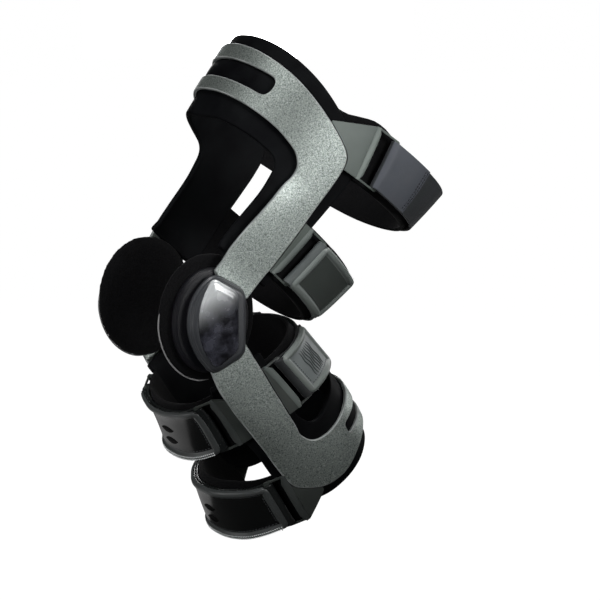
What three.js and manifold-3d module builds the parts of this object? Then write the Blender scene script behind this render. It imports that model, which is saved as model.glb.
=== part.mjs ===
// Osteoarthritis knee brace for a left knee, bent as it is worn. Millimetres.
// Origin at the knee centre, +X towards the back of the knee, +Y towards the inner side, +Z up.
// Each limb is drawn straight along its own Z with its hinge pivot at its origin, then turned
// about that pivot. The outer (lateral) side is at -Y.
import * as THREE from 'three';
import { mergeVertices } from 'three/addons/utils/BufferGeometryUtils.js';
import Module from 'manifold-3d';

const wasm = await Module();
wasm.setup();

const { degToRad, lerp, radToDeg, smoothstep } = THREE.MathUtils;

// Posture and hinge layout
const FLEXION = 74;            // bend of the knee, degrees
const HOUSING_TILT = 4;        // lean of the hinge housing, degrees
const PIVOT_RISE = 12;         // each pivot above or below the knee centre

// Layers, measured outwards from the skin
const GAP = 0.3;
const FACET_SAG = 0.45;        // how far a facet of one layer may dip towards the next
const LINER_THICK = 5;
const SHEET_THICK = 3;
const SHEET_IN = LINER_THICK + GAP + FACET_SAG;
const SHEET_OUT = SHEET_IN + SHEET_THICK;

// Fullness of the limb's section: 2 is an ellipse, more is flatter at the sides
const FULL_AT_KNEE = 6;
const FULL_UNTIL = 22;         // flat sides this far from a pivot
const ROUND_FROM = 42;         // the limb's own section from here on

// Limb sections: height from the pivot, centre in X, half depth, half width
const THIGH_SECTIONS = [
  { z: 0, cx: 6, a: 66, b: 63 },
  { z: 30, cx: 9, a: 74, b: 63 },
  { z: 60, cx: 12, a: 82, b: 66 },
  { z: 120, cx: 13, a: 91, b: 73 },
  { z: 180, cx: 15, a: 98, b: 80 },
  { z: 240, cx: 16, a: 102, b: 85 },
];
const CALF_SECTIONS = [
  { z: 0, cx: 6, a: 58, b: 63 },
  { z: -30, cx: 10, a: 58.5, b: 63 },
  { z: -60, cx: 14.5, a: 58, b: 62 },
  { z: -120, cx: 15, a: 65, b: 60 },
  { z: -160, cx: 14, a: 65, b: 58 },
  { z: -200, cx: 12, a: 59, b: 54 },
];

// Outlines of the frames and liners, half of each: first the upright, by the X of its outer and
// inner edges, then the cuff, by height and by the angle round the limb from the cuff's middle.
const THIGH_FRAME = {
  upright: [
    { z: 30, xOut: 17, xIn: -19.5 },
    { z: 42, xOut: 17, xIn: -19.5 },
    { z: 60, xOut: 17, xIn: -19 },
    { z: 84, xOut: 16, xIn: -18 },
    { z: 104, xOut: 14.5, xIn: -18 },
  ],
  cuff: [
    { zOut: 128, phiOut: 90, zIn: 115, phiIn: 72 },
    { zOut: 145, phiOut: 88.5, zIn: 123, phiIn: 71 },
    { zOut: 154, phiOut: 86, zIn: 128, phiIn: 68.5 },
    { zOut: 160, phiOut: 80, zIn: 132, phiIn: 64.5 },
    { zOut: 170, phiOut: 64, zIn: 137, phiIn: 52 },
    { zOut: 178, phiOut: 46, zIn: 139, phiIn: 36 },
    { zOut: 182, phiOut: 24, zIn: 139.5, phiIn: 20 },
    { zOut: 183, phiOut: 0, zIn: 139, phiIn: 0 },
  ],
};
const THIGH_LINER = {
  upright: [
    { z: 36, xOut: 26, xIn: -28 },
    { z: 42, xOut: 26, xIn: -28 },
    { z: 60, xOut: 26, xIn: -28 },
    { z: 90, xOut: 25, xIn: -28 },
  ],
  cuff: [
    { zOut: 112, phiOut: 97.5, zIn: 106, phiIn: 63.5 },
    { zOut: 134, phiOut: 97, zIn: 113, phiIn: 62.5 },
    { zOut: 152, phiOut: 95, zIn: 117, phiIn: 60.5 },
    { zOut: 164, phiOut: 89, zIn: 119.5, phiIn: 57 },
    { zOut: 175, phiOut: 76, zIn: 121, phiIn: 48 },
    { zOut: 186, phiOut: 56, zIn: 121.5, phiIn: 36 },
    { zOut: 190.5, phiOut: 36, zIn: 121, phiIn: 22 },
    { zOut: 190, phiOut: 18, zIn: 120, phiIn: 10 },
    { zOut: 189, phiOut: 0, zIn: 119.5, phiIn: 0 },
  ],
};
const CALF_FRAME = {
  upright: [
    { z: -30, xOut: -19.5, xIn: 17.5 },
    { z: -42, xOut: -18.5, xIn: 17.5 },
    { z: -60, xOut: -17, xIn: 17.5 },
    { z: -82, xOut: -15.5, xIn: 17.5 },
    { z: -104, xOut: -14, xIn: 17.5 },
  ],
  cuff: [
    { zOut: -130, phiOut: 112, zIn: -112, phiIn: 88.5 },
    { zOut: -146, phiOut: 109, zIn: -117, phiIn: 87 },
    { zOut: -156, phiOut: 101, zIn: -122, phiIn: 84.5 },
    { zOut: -164, phiOut: 90, zIn: -126, phiIn: 80 },
    { zOut: -168, phiOut: 74, zIn: -128.5, phiIn: 71 },
    { zOut: -167, phiOut: 56, zIn: -128, phiIn: 58 },
    { zOut: -164, phiOut: 38, zIn: -124.5, phiIn: 42 },
    { zOut: -163, phiOut: 20, zIn: -121.5, phiIn: 22 },
    { zOut: -163, phiOut: 0, zIn: -120.5, phiIn: 0 },
  ],
};
const CALF_LINER = {
  upright: [
    { z: -36, xOut: -26, xIn: 26 },
    { z: -42, xOut: -26, xIn: 26 },
    { z: -60, xOut: -26, xIn: 26 },
    { z: -85, xOut: -24, xIn: 26 },
  ],
  cuff: [
    { zOut: -108, phiOut: 120, zIn: -98, phiIn: 82 },
    { zOut: -132, phiOut: 118, zIn: -106, phiIn: 79.5 },
    { zOut: -152, phiOut: 114, zIn: -111, phiIn: 77 },
    { zOut: -165, phiOut: 106, zIn: -114, phiIn: 73.5 },
    { zOut: -172, phiOut: 93, zIn: -115, phiIn: 69 },
    { zOut: -175, phiOut: 75, zIn: -113.5, phiIn: 61 },
    { zOut: -174, phiOut: 56, zIn: -110, phiIn: 50 },
    { zOut: -172, phiOut: 38, zIn: -105, phiIn: 36 },
    { zOut: -171, phiOut: 18, zIn: -103, phiIn: 18 },
    { zOut: -171, phiOut: 0, zIn: -102.5, phiIn: 0 },
  ],
};
const SAMPLES_PER_ROW = 2;     // rungs laid between two rows of an outline
const RUNG_DIVISIONS = 3;      // facets across a frame or a liner

const CUTTER_REACH = 2;        // how far a cutter goes past both faces of a sheet

// Slots through the cuffs, and where facets lie along a slot's round end and its straight run
const SLOT_HEIGHT = 15;
const SLOT_END_SHARES = [0.02, 0.15, 0.4, 0.7, 1];
const SLOT_RUN_SHARES = [0.75, 0.5, 0.25, 0];
const SLOTS = {
  thigh: { z: 159.5, phiEnd: 42 },
  calf: { z: -143, phiEnd: 37 },
};

// Arms of the frames inside the hinges
const ARM_HEAD_R = 11.6;
const ARM_HEAD_TURNS = [-84, -60, -30, 0];
const ARM_NECK_Z = 15;
const PIN_R = 4;
const PIN_SIDES = 14;
const PIN_SEAT = 2;            // depth of a pin's seat in the cover and in the plate

// Loops, straps and the pads under them
const LOOP_WINDOW = 9;         // opening of a loop, along the strap
const LOOP_RAIL = 3.5;         // side rails of a loop
const LOOP_SIDE_PLAY = 1;      // room between a rail and the strap's edge
const LOOP_BAR = 4;            // bar that the strap is folded round
const STRAP_WALL = 2.5;        // one layer of strap round the bar
const STRAP_THICK = 4;         // a single run of strap
const FOLD_LENGTH = 62;        // doubled stretch next to each loop
const SEAM_RAMP = 6;           // slope down at the end of the doubled stretch
const EYE_RAMP = 11;           // slope from the strap's inner side to its eye
const EYE_END_SHARES = [0, 0.5, 0.85, 0.99];
const STRAP_STEP = 9;          // degrees between facets round the limb
const BAND_DIVISIONS = 2;      // facets across a strap
const MM_PER_DEGREE = 1.5;     // length of one degree round a limb
const BAR_MIDDLE = (SHEET_IN + SHEET_OUT) / 2;
const EYE_HALF_LENGTH = LOOP_BAR / 2 + GAP + STRAP_WALL;
const EYE_HALF_HEIGHT = SHEET_THICK / 2 + GAP + STRAP_WALL;
const PAD_MARGIN = 3;          // pad wider than its strap, on each side

// Each strap: the side that it goes round (1 the back, -1 the front), its height on the limb's
// centre line, its rise towards the back in degrees, its width, and on the limb's side the X of
// the loop bar, of the edge where the loop tab starts and of the pad's end
const STRAPS = {
  thigh_upper: { limb: 'thigh', round: 1, z: 162, rise: 13, width: 40, barX: 36, rootX: -22, padX: 27.5 },
  thigh_lower: { limb: 'thigh', round: 1, z: 71, rise: 0, width: 42, barX: 39, rootX: 6, padX: 29.5 },
  calf_rear: { limb: 'calf', round: 1, z: -69, rise: -5, width: 42, barX: 38, rootX: 6, padX: 29.5 },
  shin_upper: { limb: 'calf', round: -1, z: -65, rise: 4, width: 42, barX: -35, rootX: -8, padX: -27.5 },
  shin_lower: { limb: 'calf', round: -1, z: -161, rise: -12, width: 42, barX: -26, rootX: 10, padX: -22 },
};

// Hinge stack, measured outwards from the leg's middle plane
const PAD_INNER_Y = 51;
const PAD_OUTER_Y = 61.2;
const PLATE_Y = 61.5;
const ARM_Y = THIGH_SECTIONS[0].b + SHEET_IN;
const COVER_Y = ARM_Y + SHEET_THICK + GAP;
const COVER_TOP_Y = 81;
const BADGE_TOP_Y = 84;
const PAD_OVAL = { x: -3, z: 2, halfX: 41, halfZ: 50 };
const PLATE_OVAL = { x: -2, z: 0, halfX: 32, halfZ: 41 };
const OVAL_POINTS = 24;

// Shield outline of the hinge cover, and how it is drawn in and moved for the cover and the badge
const SHIELD = [
  { x: -5, z: 38.5, round: 7 },
  { x: 21.5, z: 25.5, round: 6 },
  { x: 24.5, z: -26.5, round: 6 },
  { x: -2, z: -42, round: 7 },
  { x: -21, z: -22, round: 13 },
  { x: -27.5, z: 3, round: 12 },
  { x: -20.5, z: 26, round: 12 },
];
const COVER_FIT = { shareX: 1, shareZ: 1, x: 0, z: 0 };
const BADGE_FIT = { shareX: 0.7, shareZ: 0.88, x: -1.6, z: 1.5 };
const CORNER_FACETS = 3;
const LEAST_FACET = 0.5;

// Profiles of the hinge pieces: share of the way out through the piece, and share of its outline
const PAD_PROFILE = [
  { depth: 0, share: 0.6 },
  { depth: 0.2, share: 0.85 },
  { depth: 0.55, share: 0.98 },
  { depth: 1, share: 1 },
];
const PLATE_PROFILE = [
  { depth: 0, share: 1 },
  { depth: 0.78, share: 1 },
  { depth: 1, share: 0.95 },
];
const COVER_PROFILE = [
  { depth: 0, share: 1 },
  { depth: 0.45, share: 0.97 },
  { depth: 0.8, share: 0.88 },
  { depth: 1, share: 0.76 },
];
const BADGE_PROFILE = [
  { depth: 0, share: 1 },
  { depth: 0.55, share: 0.96 },
  { depth: 1, share: 0.8 },
];

const FINISH = {
  frame: { color: 0x8c9791, roughness: 0.45, metalness: 0.6 },
  liner: { color: 0x17181a, roughness: 0.8, metalness: 0 },
  tab: { color: 0x6f7a77, roughness: 0.45, metalness: 0 },
  strap: { color: 0x4a5057, roughness: 0.75, metalness: 0 },
  shinStrap: { color: 0x1d2022, roughness: 0.35, metalness: 0 },
  pad: { color: 0x121315, roughness: 0.9, metalness: 0 },
  cover: { color: 0x3b3f44, roughness: 0.4, metalness: 0 },
  badge: { color: 0x0c0e16, roughness: 0.1, metalness: 0.2 },
  plate: { color: 0x24262c, roughness: 0.5, metalness: 0 },
  pin: { color: 0xa8adb0, roughness: 0.3, metalness: 0.9 },
};

// Solids

function bare(geometry) {
  const plain = geometry.clone();
  plain.deleteAttribute('normal');
  plain.deleteAttribute('uv');
  return mergeVertices(plain, 1e-4);
}

function volume(geometry) {
  const p = geometry.getAttribute('position');
  const index = geometry.getIndex();
  const corner = [new THREE.Vector3(), new THREE.Vector3(), new THREE.Vector3()];
  let sum = 0;
  for (let i = 0; i < index.count; i += 3) {
    corner.forEach((v, k) => v.fromBufferAttribute(p, index.getX(i + k)));
    sum += corner[0].dot(corner[1].clone().cross(corner[2])) / 6;
  }
  return sum;
}

// Faces outwards whatever order the points were given in
function outward(geometry) {
  const solid = bare(geometry);
  if (volume(solid) < 0) {
    const order = solid.getIndex().array;
    for (let i = 0; i < order.length; i += 3) {
      [order[i], order[i + 1]] = [order[i + 1], order[i]];
    }
  }
  return solid;
}

function toManifold(geometry) {
  const solid = outward(geometry);
  return new wasm.Manifold(new wasm.Mesh({
    numProp: 3,
    vertProperties: new Float32Array(solid.getAttribute('position').array),
    triVerts: new Uint32Array(solid.getIndex().array),
  }));
}

function fromManifold(manifold) {
  const mesh = manifold.getMesh();
  const geometry = new THREE.BufferGeometry();
  geometry.setAttribute('position', new THREE.BufferAttribute(mesh.vertProperties, 3));
  geometry.setIndex(new THREE.BufferAttribute(mesh.triVerts, 1));
  return geometry;
}

function cut(geometry, ...cutters) {
  return fromManifold(cutters.reduce((body, c) => body.subtract(toManifold(c)), toManifold(geometry)));
}

function mirrored(geometry) {
  return outward(geometry.clone().applyMatrix4(new THREE.Matrix4().makeScale(1, -1, 1)));
}

// A closed slab between two matching grids of points
function slab(inner, outer) {
  const rows = inner.length;
  const cols = inner[0].length;
  const points = [...inner.flat(), ...outer.flat()];
  const at = (layer, i, j) => layer * rows * cols + i * cols + j;
  const index = [];
  const quad = (a, b, c, d) => index.push(a, b, c, a, c, d);
  for (let i = 0; i < rows - 1; i++) {
    for (let j = 0; j < cols - 1; j++) {
      quad(at(1, i, j), at(1, i + 1, j), at(1, i + 1, j + 1), at(1, i, j + 1));
      quad(at(0, i, j), at(0, i, j + 1), at(0, i + 1, j + 1), at(0, i + 1, j));
    }
    quad(at(0, i, 0), at(0, i + 1, 0), at(1, i + 1, 0), at(1, i, 0));
    quad(at(0, i, cols - 1), at(1, i, cols - 1), at(1, i + 1, cols - 1), at(0, i + 1, cols - 1));
  }
  for (let j = 0; j < cols - 1; j++) {
    quad(at(0, 0, j), at(1, 0, j), at(1, 0, j + 1), at(0, 0, j + 1));
    quad(at(0, rows - 1, j), at(0, rows - 1, j + 1), at(1, rows - 1, j + 1), at(1, rows - 1, j));
  }
  const geometry = new THREE.BufferGeometry().setFromPoints(points);
  geometry.setIndex(index);
  return outward(geometry);
}

// Limb surface

function sectionAt(sections, z) {
  const last = sections.length - 2;
  const found = sections.findIndex((s, i) => i <= last && Math.abs(z) <= Math.abs(sections[i + 1].z));
  const i = z * sections[1].z < 0 ? 0 : found < 0 ? last : found;
  const [low, high] = [sections[i], sections[i + 1]];
  const t = i === 0 && z * sections[1].z < 0 ? 0 : (z - low.z) / (high.z - low.z);
  return { cx: lerp(low.cx, high.cx, t), a: lerp(low.a, high.a, t), b: lerp(low.b, high.b, t) };
}

// Angles round a limb are counted from the side that its cuff is on: the front of the thigh
// (facing -1) and the back of the calf (facing 1)
const LIMBS = {
  thigh: { sections: THIGH_SECTIONS, facing: -1, up: 1, fullness: 2.1 },
  calf: { sections: CALF_SECTIONS, facing: 1, up: -1, fullness: 2.3 },
};

function fullnessAt(limb, z) {
  return lerp(FULL_AT_KNEE, limb.fullness, smoothstep(Math.abs(z), FULL_UNTIL, ROUND_FROM));
}

function onLimb(limb, z, phi, offset) {
  const { cx, a, b } = sectionAt(limb.sections, z);
  const n = fullnessAt(limb, z);
  const [c, s] = [Math.cos(degToRad(phi)), Math.sin(degToRad(phi))];
  const k = (Math.abs(c) ** n + Math.abs(s) ** n) ** (-1 / n);
  return new THREE.Vector3(cx + limb.facing * (a + offset) * k * c, -(b + offset) * k * s, z);
}

function phiAtX(limb, z, x) {
  const { cx, a } = sectionAt(limb.sections, z);
  const n = fullnessAt(limb, z);
  const share = limb.facing * (x - cx) / (a + SHEET_IN);
  return radToDeg(Math.atan2((1 - Math.abs(share) ** n) ** (1 / n), share));
}

function rung(limb, z, xOut, xIn) {
  return { zOut: z, phiOut: phiAtX(limb, z, xOut), zIn: z, phiIn: phiAtX(limb, z, xIn) };
}

// Rows of an outline, with smooth rungs laid between them
function smoothRungs(limb, outline) {
  const rows = [...outline.upright.map((r) => rung(limb, r.z, r.xOut, r.xIn)), ...outline.cuff];
  const outer = new THREE.CatmullRomCurve3(rows.map((r) => new THREE.Vector3(r.zOut, r.phiOut, 0)));
  const inner = new THREE.CatmullRomCurve3(rows.map((r) => new THREE.Vector3(r.zIn, r.phiIn, 0)));
  const count = (rows.length - 1) * SAMPLES_PER_ROW;
  return Array.from({ length: count + 1 }, (_, k) => {
    const [o, i] = [outer.getPoint(k / count), inner.getPoint(k / count)];
    return { zOut: o.x, phiOut: o.y, zIn: i.x, phiIn: i.y };
  });
}

// Rounded head of an arm round its pivot, and the neck above it
function armRungs(limb) {
  const head = ARM_HEAD_TURNS.map((t) => {
    const half = ARM_HEAD_R * Math.cos(degToRad(t));
    const z = limb.up * ARM_HEAD_R * Math.sin(degToRad(t));
    return rung(limb, z, -limb.facing * half, limb.facing * half);
  });
  const neck = rung(limb, limb.up * ARM_NECK_Z, -limb.facing * ARM_HEAD_R, limb.facing * ARM_HEAD_R);
  return [...head, neck];
}

// A sheet along the rungs of one side, over the cuff and down the other side
function sheet(limb, half, offsetIn, offsetOut) {
  const other = half.slice(0, -1).reverse().map((r) => ({ ...r, phiOut: -r.phiOut, phiIn: -r.phiIn }));
  const rungs = [...half, ...other];
  const grid = (offset) => rungs.map((r) => Array.from({ length: RUNG_DIVISIONS + 1 }, (_, j) => {
    const t = j / RUNG_DIVISIONS;
    return onLimb(limb, lerp(r.zOut, r.zIn, t), lerp(r.phiOut, r.phiIn, t), offset);
  }));
  return slab(grid(offsetIn), grid(offsetOut));
}

// Slot with round ends, through a cuff
function slotCutter(limb, slot) {
  const { a } = sectionAt(limb.sections, slot.z);
  const endTurn = radToDeg((SLOT_HEIGHT / 2) / a);
  const end = SLOT_END_SHARES.map((s) => {
    const rise = (SLOT_HEIGHT / 2) * Math.sqrt(1 - (1 - s) ** 2);
    const phi = slot.phiEnd - endTurn * s;
    return { zOut: slot.z + rise, phiOut: phi, zIn: slot.z - rise, phiIn: phi };
  });
  const run = SLOT_RUN_SHARES.map((s) => {
    const phi = (slot.phiEnd - endTurn) * s;
    return { zOut: slot.z + SLOT_HEIGHT / 2, phiOut: phi, zIn: slot.z - SLOT_HEIGHT / 2, phiIn: phi };
  });
  return sheet(limb, [...end, ...run], SHEET_IN - CUTTER_REACH, SHEET_OUT + CUTTER_REACH);
}

function pinBore(z, y0, y1, radius) {
  const bore = new THREE.CylinderGeometry(radius, radius, y1 - y0, PIN_SIDES);
  return bore.translate(0, (y0 + y1) / 2, z);
}

function frameSolid(limb, outline, slot) {
  const half = [...armRungs(limb), ...smoothRungs(limb, outline)];
  const body = sheet(limb, half, SHEET_IN, SHEET_OUT);
  const boreReach = SHEET_THICK + CUTTER_REACH;
  const bores = [ARM_Y, -ARM_Y].map((y) => pinBore(0, y - boreReach, y + boreReach, PIN_R + GAP));
  return cut(body, slotCutter(limb, slot), ...bores);
}

function linerSolid(limb, outline) {
  return sheet(limb, smoothRungs(limb, outline), 0, LINER_THICK);
}

// The room that a frame needs where a loop tab meets its edge
function frameRoom(limb, outline) {
  const half = smoothRungs(limb, outline).map((r) => {
    const edge = new THREE.Vector2(r.zOut - r.zIn, (r.phiOut - r.phiIn) * MM_PER_DEGREE).setLength(GAP);
    const turn = edge.y / MM_PER_DEGREE;
    return { zOut: r.zOut + edge.x, phiOut: r.phiOut + turn, zIn: r.zIn - edge.x, phiIn: r.phiIn - turn };
  });
  return sheet(limb, half, SHEET_IN - CUTTER_REACH, SHEET_OUT + CUTTER_REACH);
}

// Straps

// One strap's way round its limb: turns are counted from the middle of the strap, and places are
// given by turn, distance from the skin and distance across the strap
function strapPlan(row) {
  const limb = LIMBS[row.limb];
  const { cx, a } = sectionAt(limb.sections, row.z);
  const slope = Math.tan(degToRad(row.rise));
  const phiOf = (turn) => (limb.facing === row.round ? turn : Math.sign(turn || 1) * 180 - turn);
  const place = (turn, offset, side) => {
    const z = row.z + side + slope * row.round * a * Math.cos(degToRad(turn));
    return onLimb(limb, z, phiOf(turn), offset);
  };
  const turnAt = (x) => {
    const phi = phiAtX(limb, row.z + slope * (x - cx), x);
    return limb.facing === row.round ? phi : 180 - phi;
  };
  const along = (length) => radToDeg(length / (a + SHEET_IN));
  const turns = { bar: turnAt(row.barX), root: turnAt(row.rootX), padEnd: turnAt(row.padX) };
  return { ...row, ...turns, place, along };
}

// A band through rows of turn, inner and outer distance from the skin
function band(plan, rows, width) {
  const sides = Array.from({ length: BAND_DIVISIONS + 1 }, (_, j) => width * (j / BAND_DIVISIONS - 0.5));
  const grid = (key) => rows.map((r) => sides.map((side) => plan.place(r.turn, r[key], side)));
  return slab(grid('low'), grid('high'));
}

function tabWidth(plan) {
  return plan.width + 2 * (LOOP_SIDE_PLAY + LOOP_RAIL);
}

function ringSector(plan, from, to, low, high, width) {
  const steps = Math.max(2, Math.ceil(Math.abs(from - to) / STRAP_STEP));
  const row = (k) => ({ turn: lerp(from, to, k / steps), low, high });
  return band(plan, Array.from({ length: steps + 1 }, (_, k) => row(k)), width);
}

// Half of a strap, from its middle to the eye round the loop bar
function strapRows(plan) {
  const seam = plan.bar - plan.along(FOLD_LENGTH);
  const ramp = plan.along(SEAM_RAMP);
  const eyeStart = plan.bar - plan.along(EYE_RAMP);
  const doubled = BAR_MIDDLE + EYE_HALF_HEIGHT;
  const row = (turn) => ({
    turn,
    low: lerp(SHEET_IN, BAR_MIDDLE - EYE_HALF_HEIGHT, smoothstep(turn, eyeStart, plan.bar)),
    high: lerp(SHEET_IN + STRAP_THICK, doubled, smoothstep(turn, seam, seam + ramp)),
  });
  const steps = Math.ceil(plan.bar / STRAP_STEP);
  const run = Array.from({ length: steps }, (_, k) => row(lerp(0, plan.bar, k / steps)));
  const eye = EYE_END_SHARES.map((share) => {
    const half = EYE_HALF_HEIGHT * Math.sqrt(1 - share * share);
    const turn = plan.bar + plan.along(EYE_HALF_LENGTH) * share;
    return { turn, low: BAR_MIDDLE - half, high: BAR_MIDDLE + half };
  });
  return [...run, row(eyeStart), ...eye].sort((p, q) => p.turn - q.turn);
}

function strapSolid(plan) {
  const half = strapRows(plan);
  const other = half.slice(1).reverse().map((r) => ({ ...r, turn: -r.turn }));
  const reach = plan.along(LOOP_BAR / 2 + GAP);
  const eyes = [1, -1].map((side) => ringSector(plan, side * (plan.bar + reach), side * (plan.bar - reach),
    SHEET_IN - GAP - FACET_SAG, SHEET_OUT + GAP + FACET_SAG, tabWidth(plan)));
  return cut(band(plan, [...other, ...half], plan.width), ...eyes);
}

// Pad under a strap, thin where it runs on behind the loop
function padSolid(plan) {
  const thick = LINER_THICK - 2 * FACET_SAG;
  const thin = BAR_MIDDLE - EYE_HALF_HEIGHT - GAP - FACET_SAG;
  const full = plan.bar - plan.along(EYE_RAMP + EYE_HALF_LENGTH);
  const slim = plan.bar - plan.along(EYE_RAMP);
  const steps = Math.ceil(full / STRAP_STEP);
  const row = (turn, high) => ({ turn, low: GAP, high });
  const run = Array.from({ length: steps + 1 }, (_, k) => row(lerp(0, full, k / steps), thick));
  const flap = [slim, (slim + plan.padEnd) / 2, plan.padEnd].map((turn) => row(turn, thin));
  const half = [...run, ...flap];
  const other = half.slice(1).reverse().map((r) => ({ ...r, turn: -r.turn }));
  return band(plan, [...other, ...half], plan.width + 2 * PAD_MARGIN);
}

// Loop tab: a curved plate from the frame's edge to the bar that the strap goes round
function tabSolid(plan, room) {
  const tip = plan.bar - plan.along(LOOP_BAR / 2);
  const windowEnd = plan.bar + plan.along(LOOP_BAR / 2);
  const windowHeight = tabWidth(plan) - 2 * LOOP_RAIL;
  const plate = ringSector(plan, plan.root, tip, SHEET_IN, SHEET_OUT, tabWidth(plan));
  const opening = ringSector(plan, windowEnd + plan.along(LOOP_WINDOW), windowEnd,
    SHEET_IN - CUTTER_REACH, SHEET_OUT + CUTTER_REACH, windowHeight);
  return cut(plate, opening, room);
}

// Hinges

// Closed outline with every corner rounded by an arc-like curve
function roundedOutline(corners, fit) {
  const shape = new THREE.Shape();
  const at = (k) => new THREE.Vector2(corners[k % corners.length].x, corners[k % corners.length].z);
  corners.forEach((corner, k) => {
    const here = at(k);
    const before = at(k + corners.length - 1).sub(here).setLength(corner.round).add(here);
    const after = at(k + 1).sub(here).setLength(corner.round).add(here);
    if (k === 0) shape.moveTo(before.x, before.y);
    else shape.lineTo(before.x, before.y);
    shape.quadraticCurveTo(here.x, here.y, after.x, after.y);
  });
  const points = shape.getPoints(CORNER_FACETS);
  return points
    .filter((p, k) => p.distanceTo(points[(k + 1) % points.length]) > LEAST_FACET)
    .map((p) => new THREE.Vector2(fit.x + p.x * fit.shareX, fit.z + p.y * fit.shareZ));
}

function ovalOutline(oval) {
  const curve = new THREE.EllipseCurve(oval.x, oval.z, oval.halfX, oval.halfZ);
  return curve.getPoints(OVAL_POINTS).slice(0, -1);
}

// Outline stacked on the outer side from one distance to another, drawn in by the profile's shares
function stacked(outline, profile, from, to) {
  const middle = outline.reduce((sum, p) => sum.add(p), new THREE.Vector2()).divideScalar(outline.length);
  const count = outline.length;
  const points = profile.flatMap(({ depth, share }) => outline.map((p) => (
    new THREE.Vector3(lerp(middle.x, p.x, share), -lerp(from, to, depth), lerp(middle.y, p.y, share)))));
  points.push(new THREE.Vector3(middle.x, -from, middle.y), new THREE.Vector3(middle.x, -to, middle.y));
  const index = [];
  for (let j = 0; j < count; j++) {
    const next = (j + 1) % count;
    for (let i = 0; i < profile.length - 1; i++) {
      const [low, high] = [i * count, (i + 1) * count];
      index.push(low + j, low + next, high + next, low + j, high + next, high + j);
    }
    const top = (profile.length - 1) * count;
    index.push(points.length - 2, next, j, points.length - 1, top + j, top + next);
  }
  const geometry = new THREE.BufferGeometry().setFromPoints(points);
  geometry.setIndex(index);
  return outward(geometry);
}

function pinSeats(y0, y1) {
  return [PIVOT_RISE, -PIVOT_RISE].map((z) => pinBore(z, -y1, -y0, PIN_R + GAP));
}

function hingePieces() {
  const plateTop = ARM_Y - GAP;
  const pinFrom = plateTop - PIN_SEAT;
  const pinTo = COVER_Y + PIN_SEAT;
  const shield = roundedOutline(SHIELD, COVER_FIT);
  const badgeShield = roundedOutline(SHIELD, BADGE_FIT);
  const pad = stacked(ovalOutline(PAD_OVAL), PAD_PROFILE, PAD_INNER_Y, PAD_OUTER_Y);
  const plate = stacked(ovalOutline(PLATE_OVAL), PLATE_PROFILE, PLATE_Y, plateTop);
  const cover = stacked(shield, COVER_PROFILE, COVER_Y, COVER_TOP_Y);
  const badge = stacked(badgeShield, BADGE_PROFILE, COVER_TOP_Y + GAP, BADGE_TOP_Y);
  const plateSeats = pinSeats(pinFrom - GAP, plateTop + CUTTER_REACH);
  const coverSeats = pinSeats(COVER_Y - CUTTER_REACH, pinTo + GAP);
  const pin = (z) => outward(pinBore(z, -pinTo, -pinFrom, PIN_R));
  return [
    { name: 'condyle_pad', geometry: pad, finish: 'pad' },
    { name: 'hinge_plate', geometry: cut(plate, ...plateSeats), finish: 'plate' },
    { name: 'hinge_cover', geometry: cut(cover, ...coverSeats), finish: 'cover' },
    { name: 'hinge_badge', geometry: badge, finish: 'badge' },
    { name: 'hinge_pin_upper', geometry: pin(PIVOT_RISE), finish: 'pin' },
    { name: 'hinge_pin_lower', geometry: pin(-PIVOT_RISE), finish: 'pin' },
  ];
}

// Assembly

function addPiece(group, name, geometry, finish) {
  const mesh = new THREE.Mesh(geometry, new THREE.MeshStandardMaterial(FINISH[finish]));
  mesh.name = name;
  group.add(mesh);
}

function addBothSides(group, name, geometry, finish) {
  addPiece(group, `${name}_lateral`, geometry, finish);
  addPiece(group, `${name}_medial`, mirrored(geometry), finish);
}

const brace = new THREE.Group();
const hinges = new THREE.Group();
hinges.rotation.y = degToRad(HOUSING_TILT);
brace.add(hinges);
hingePieces().forEach(({ name, geometry, finish }) => addBothSides(hinges, name, geometry, finish));

const OUTLINES = {
  thigh: { frame: THIGH_FRAME, liner: THIGH_LINER },
  calf: { frame: CALF_FRAME, liner: CALF_LINER },
};
for (const [limbName, limb] of Object.entries(LIMBS)) {
  const group = new THREE.Group();
  group.position.z = limb.up * PIVOT_RISE;
  group.rotation.y = degToRad(limb.up * FLEXION / 2);
  hinges.add(group);
  const { frame, liner } = OUTLINES[limbName];
  addPiece(group, `${limbName}_frame`, frameSolid(limb, frame, SLOTS[limbName]), 'frame');
  addPiece(group, `${limbName}_liner`, linerSolid(limb, liner), 'liner');
  const room = frameRoom(limb, frame);
  for (const [name, row] of Object.entries(STRAPS).filter(([, r]) => r.limb === limbName)) {
    const plan = strapPlan(row);
    addPiece(group, `${name}_strap`, strapSolid(plan), row.round < 0 ? 'shinStrap' : 'strap');
    addPiece(group, `${name}_pad`, padSolid(plan), 'pad');
    addBothSides(group, `${name}_tab`, tabSolid(plan, room), 'tab');
  }
}

export default brace;
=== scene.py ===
"""Looks of an osteoarthritis knee brace, bent as it is worn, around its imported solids."""
from bisect import bisect_right
from collections import namedtuple
from math import atan2, ceil, cos, degrees, hypot, pi, radians, sin, sqrt, tan

import bmesh
import bpy
from mathutils import Matrix, Vector


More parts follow.
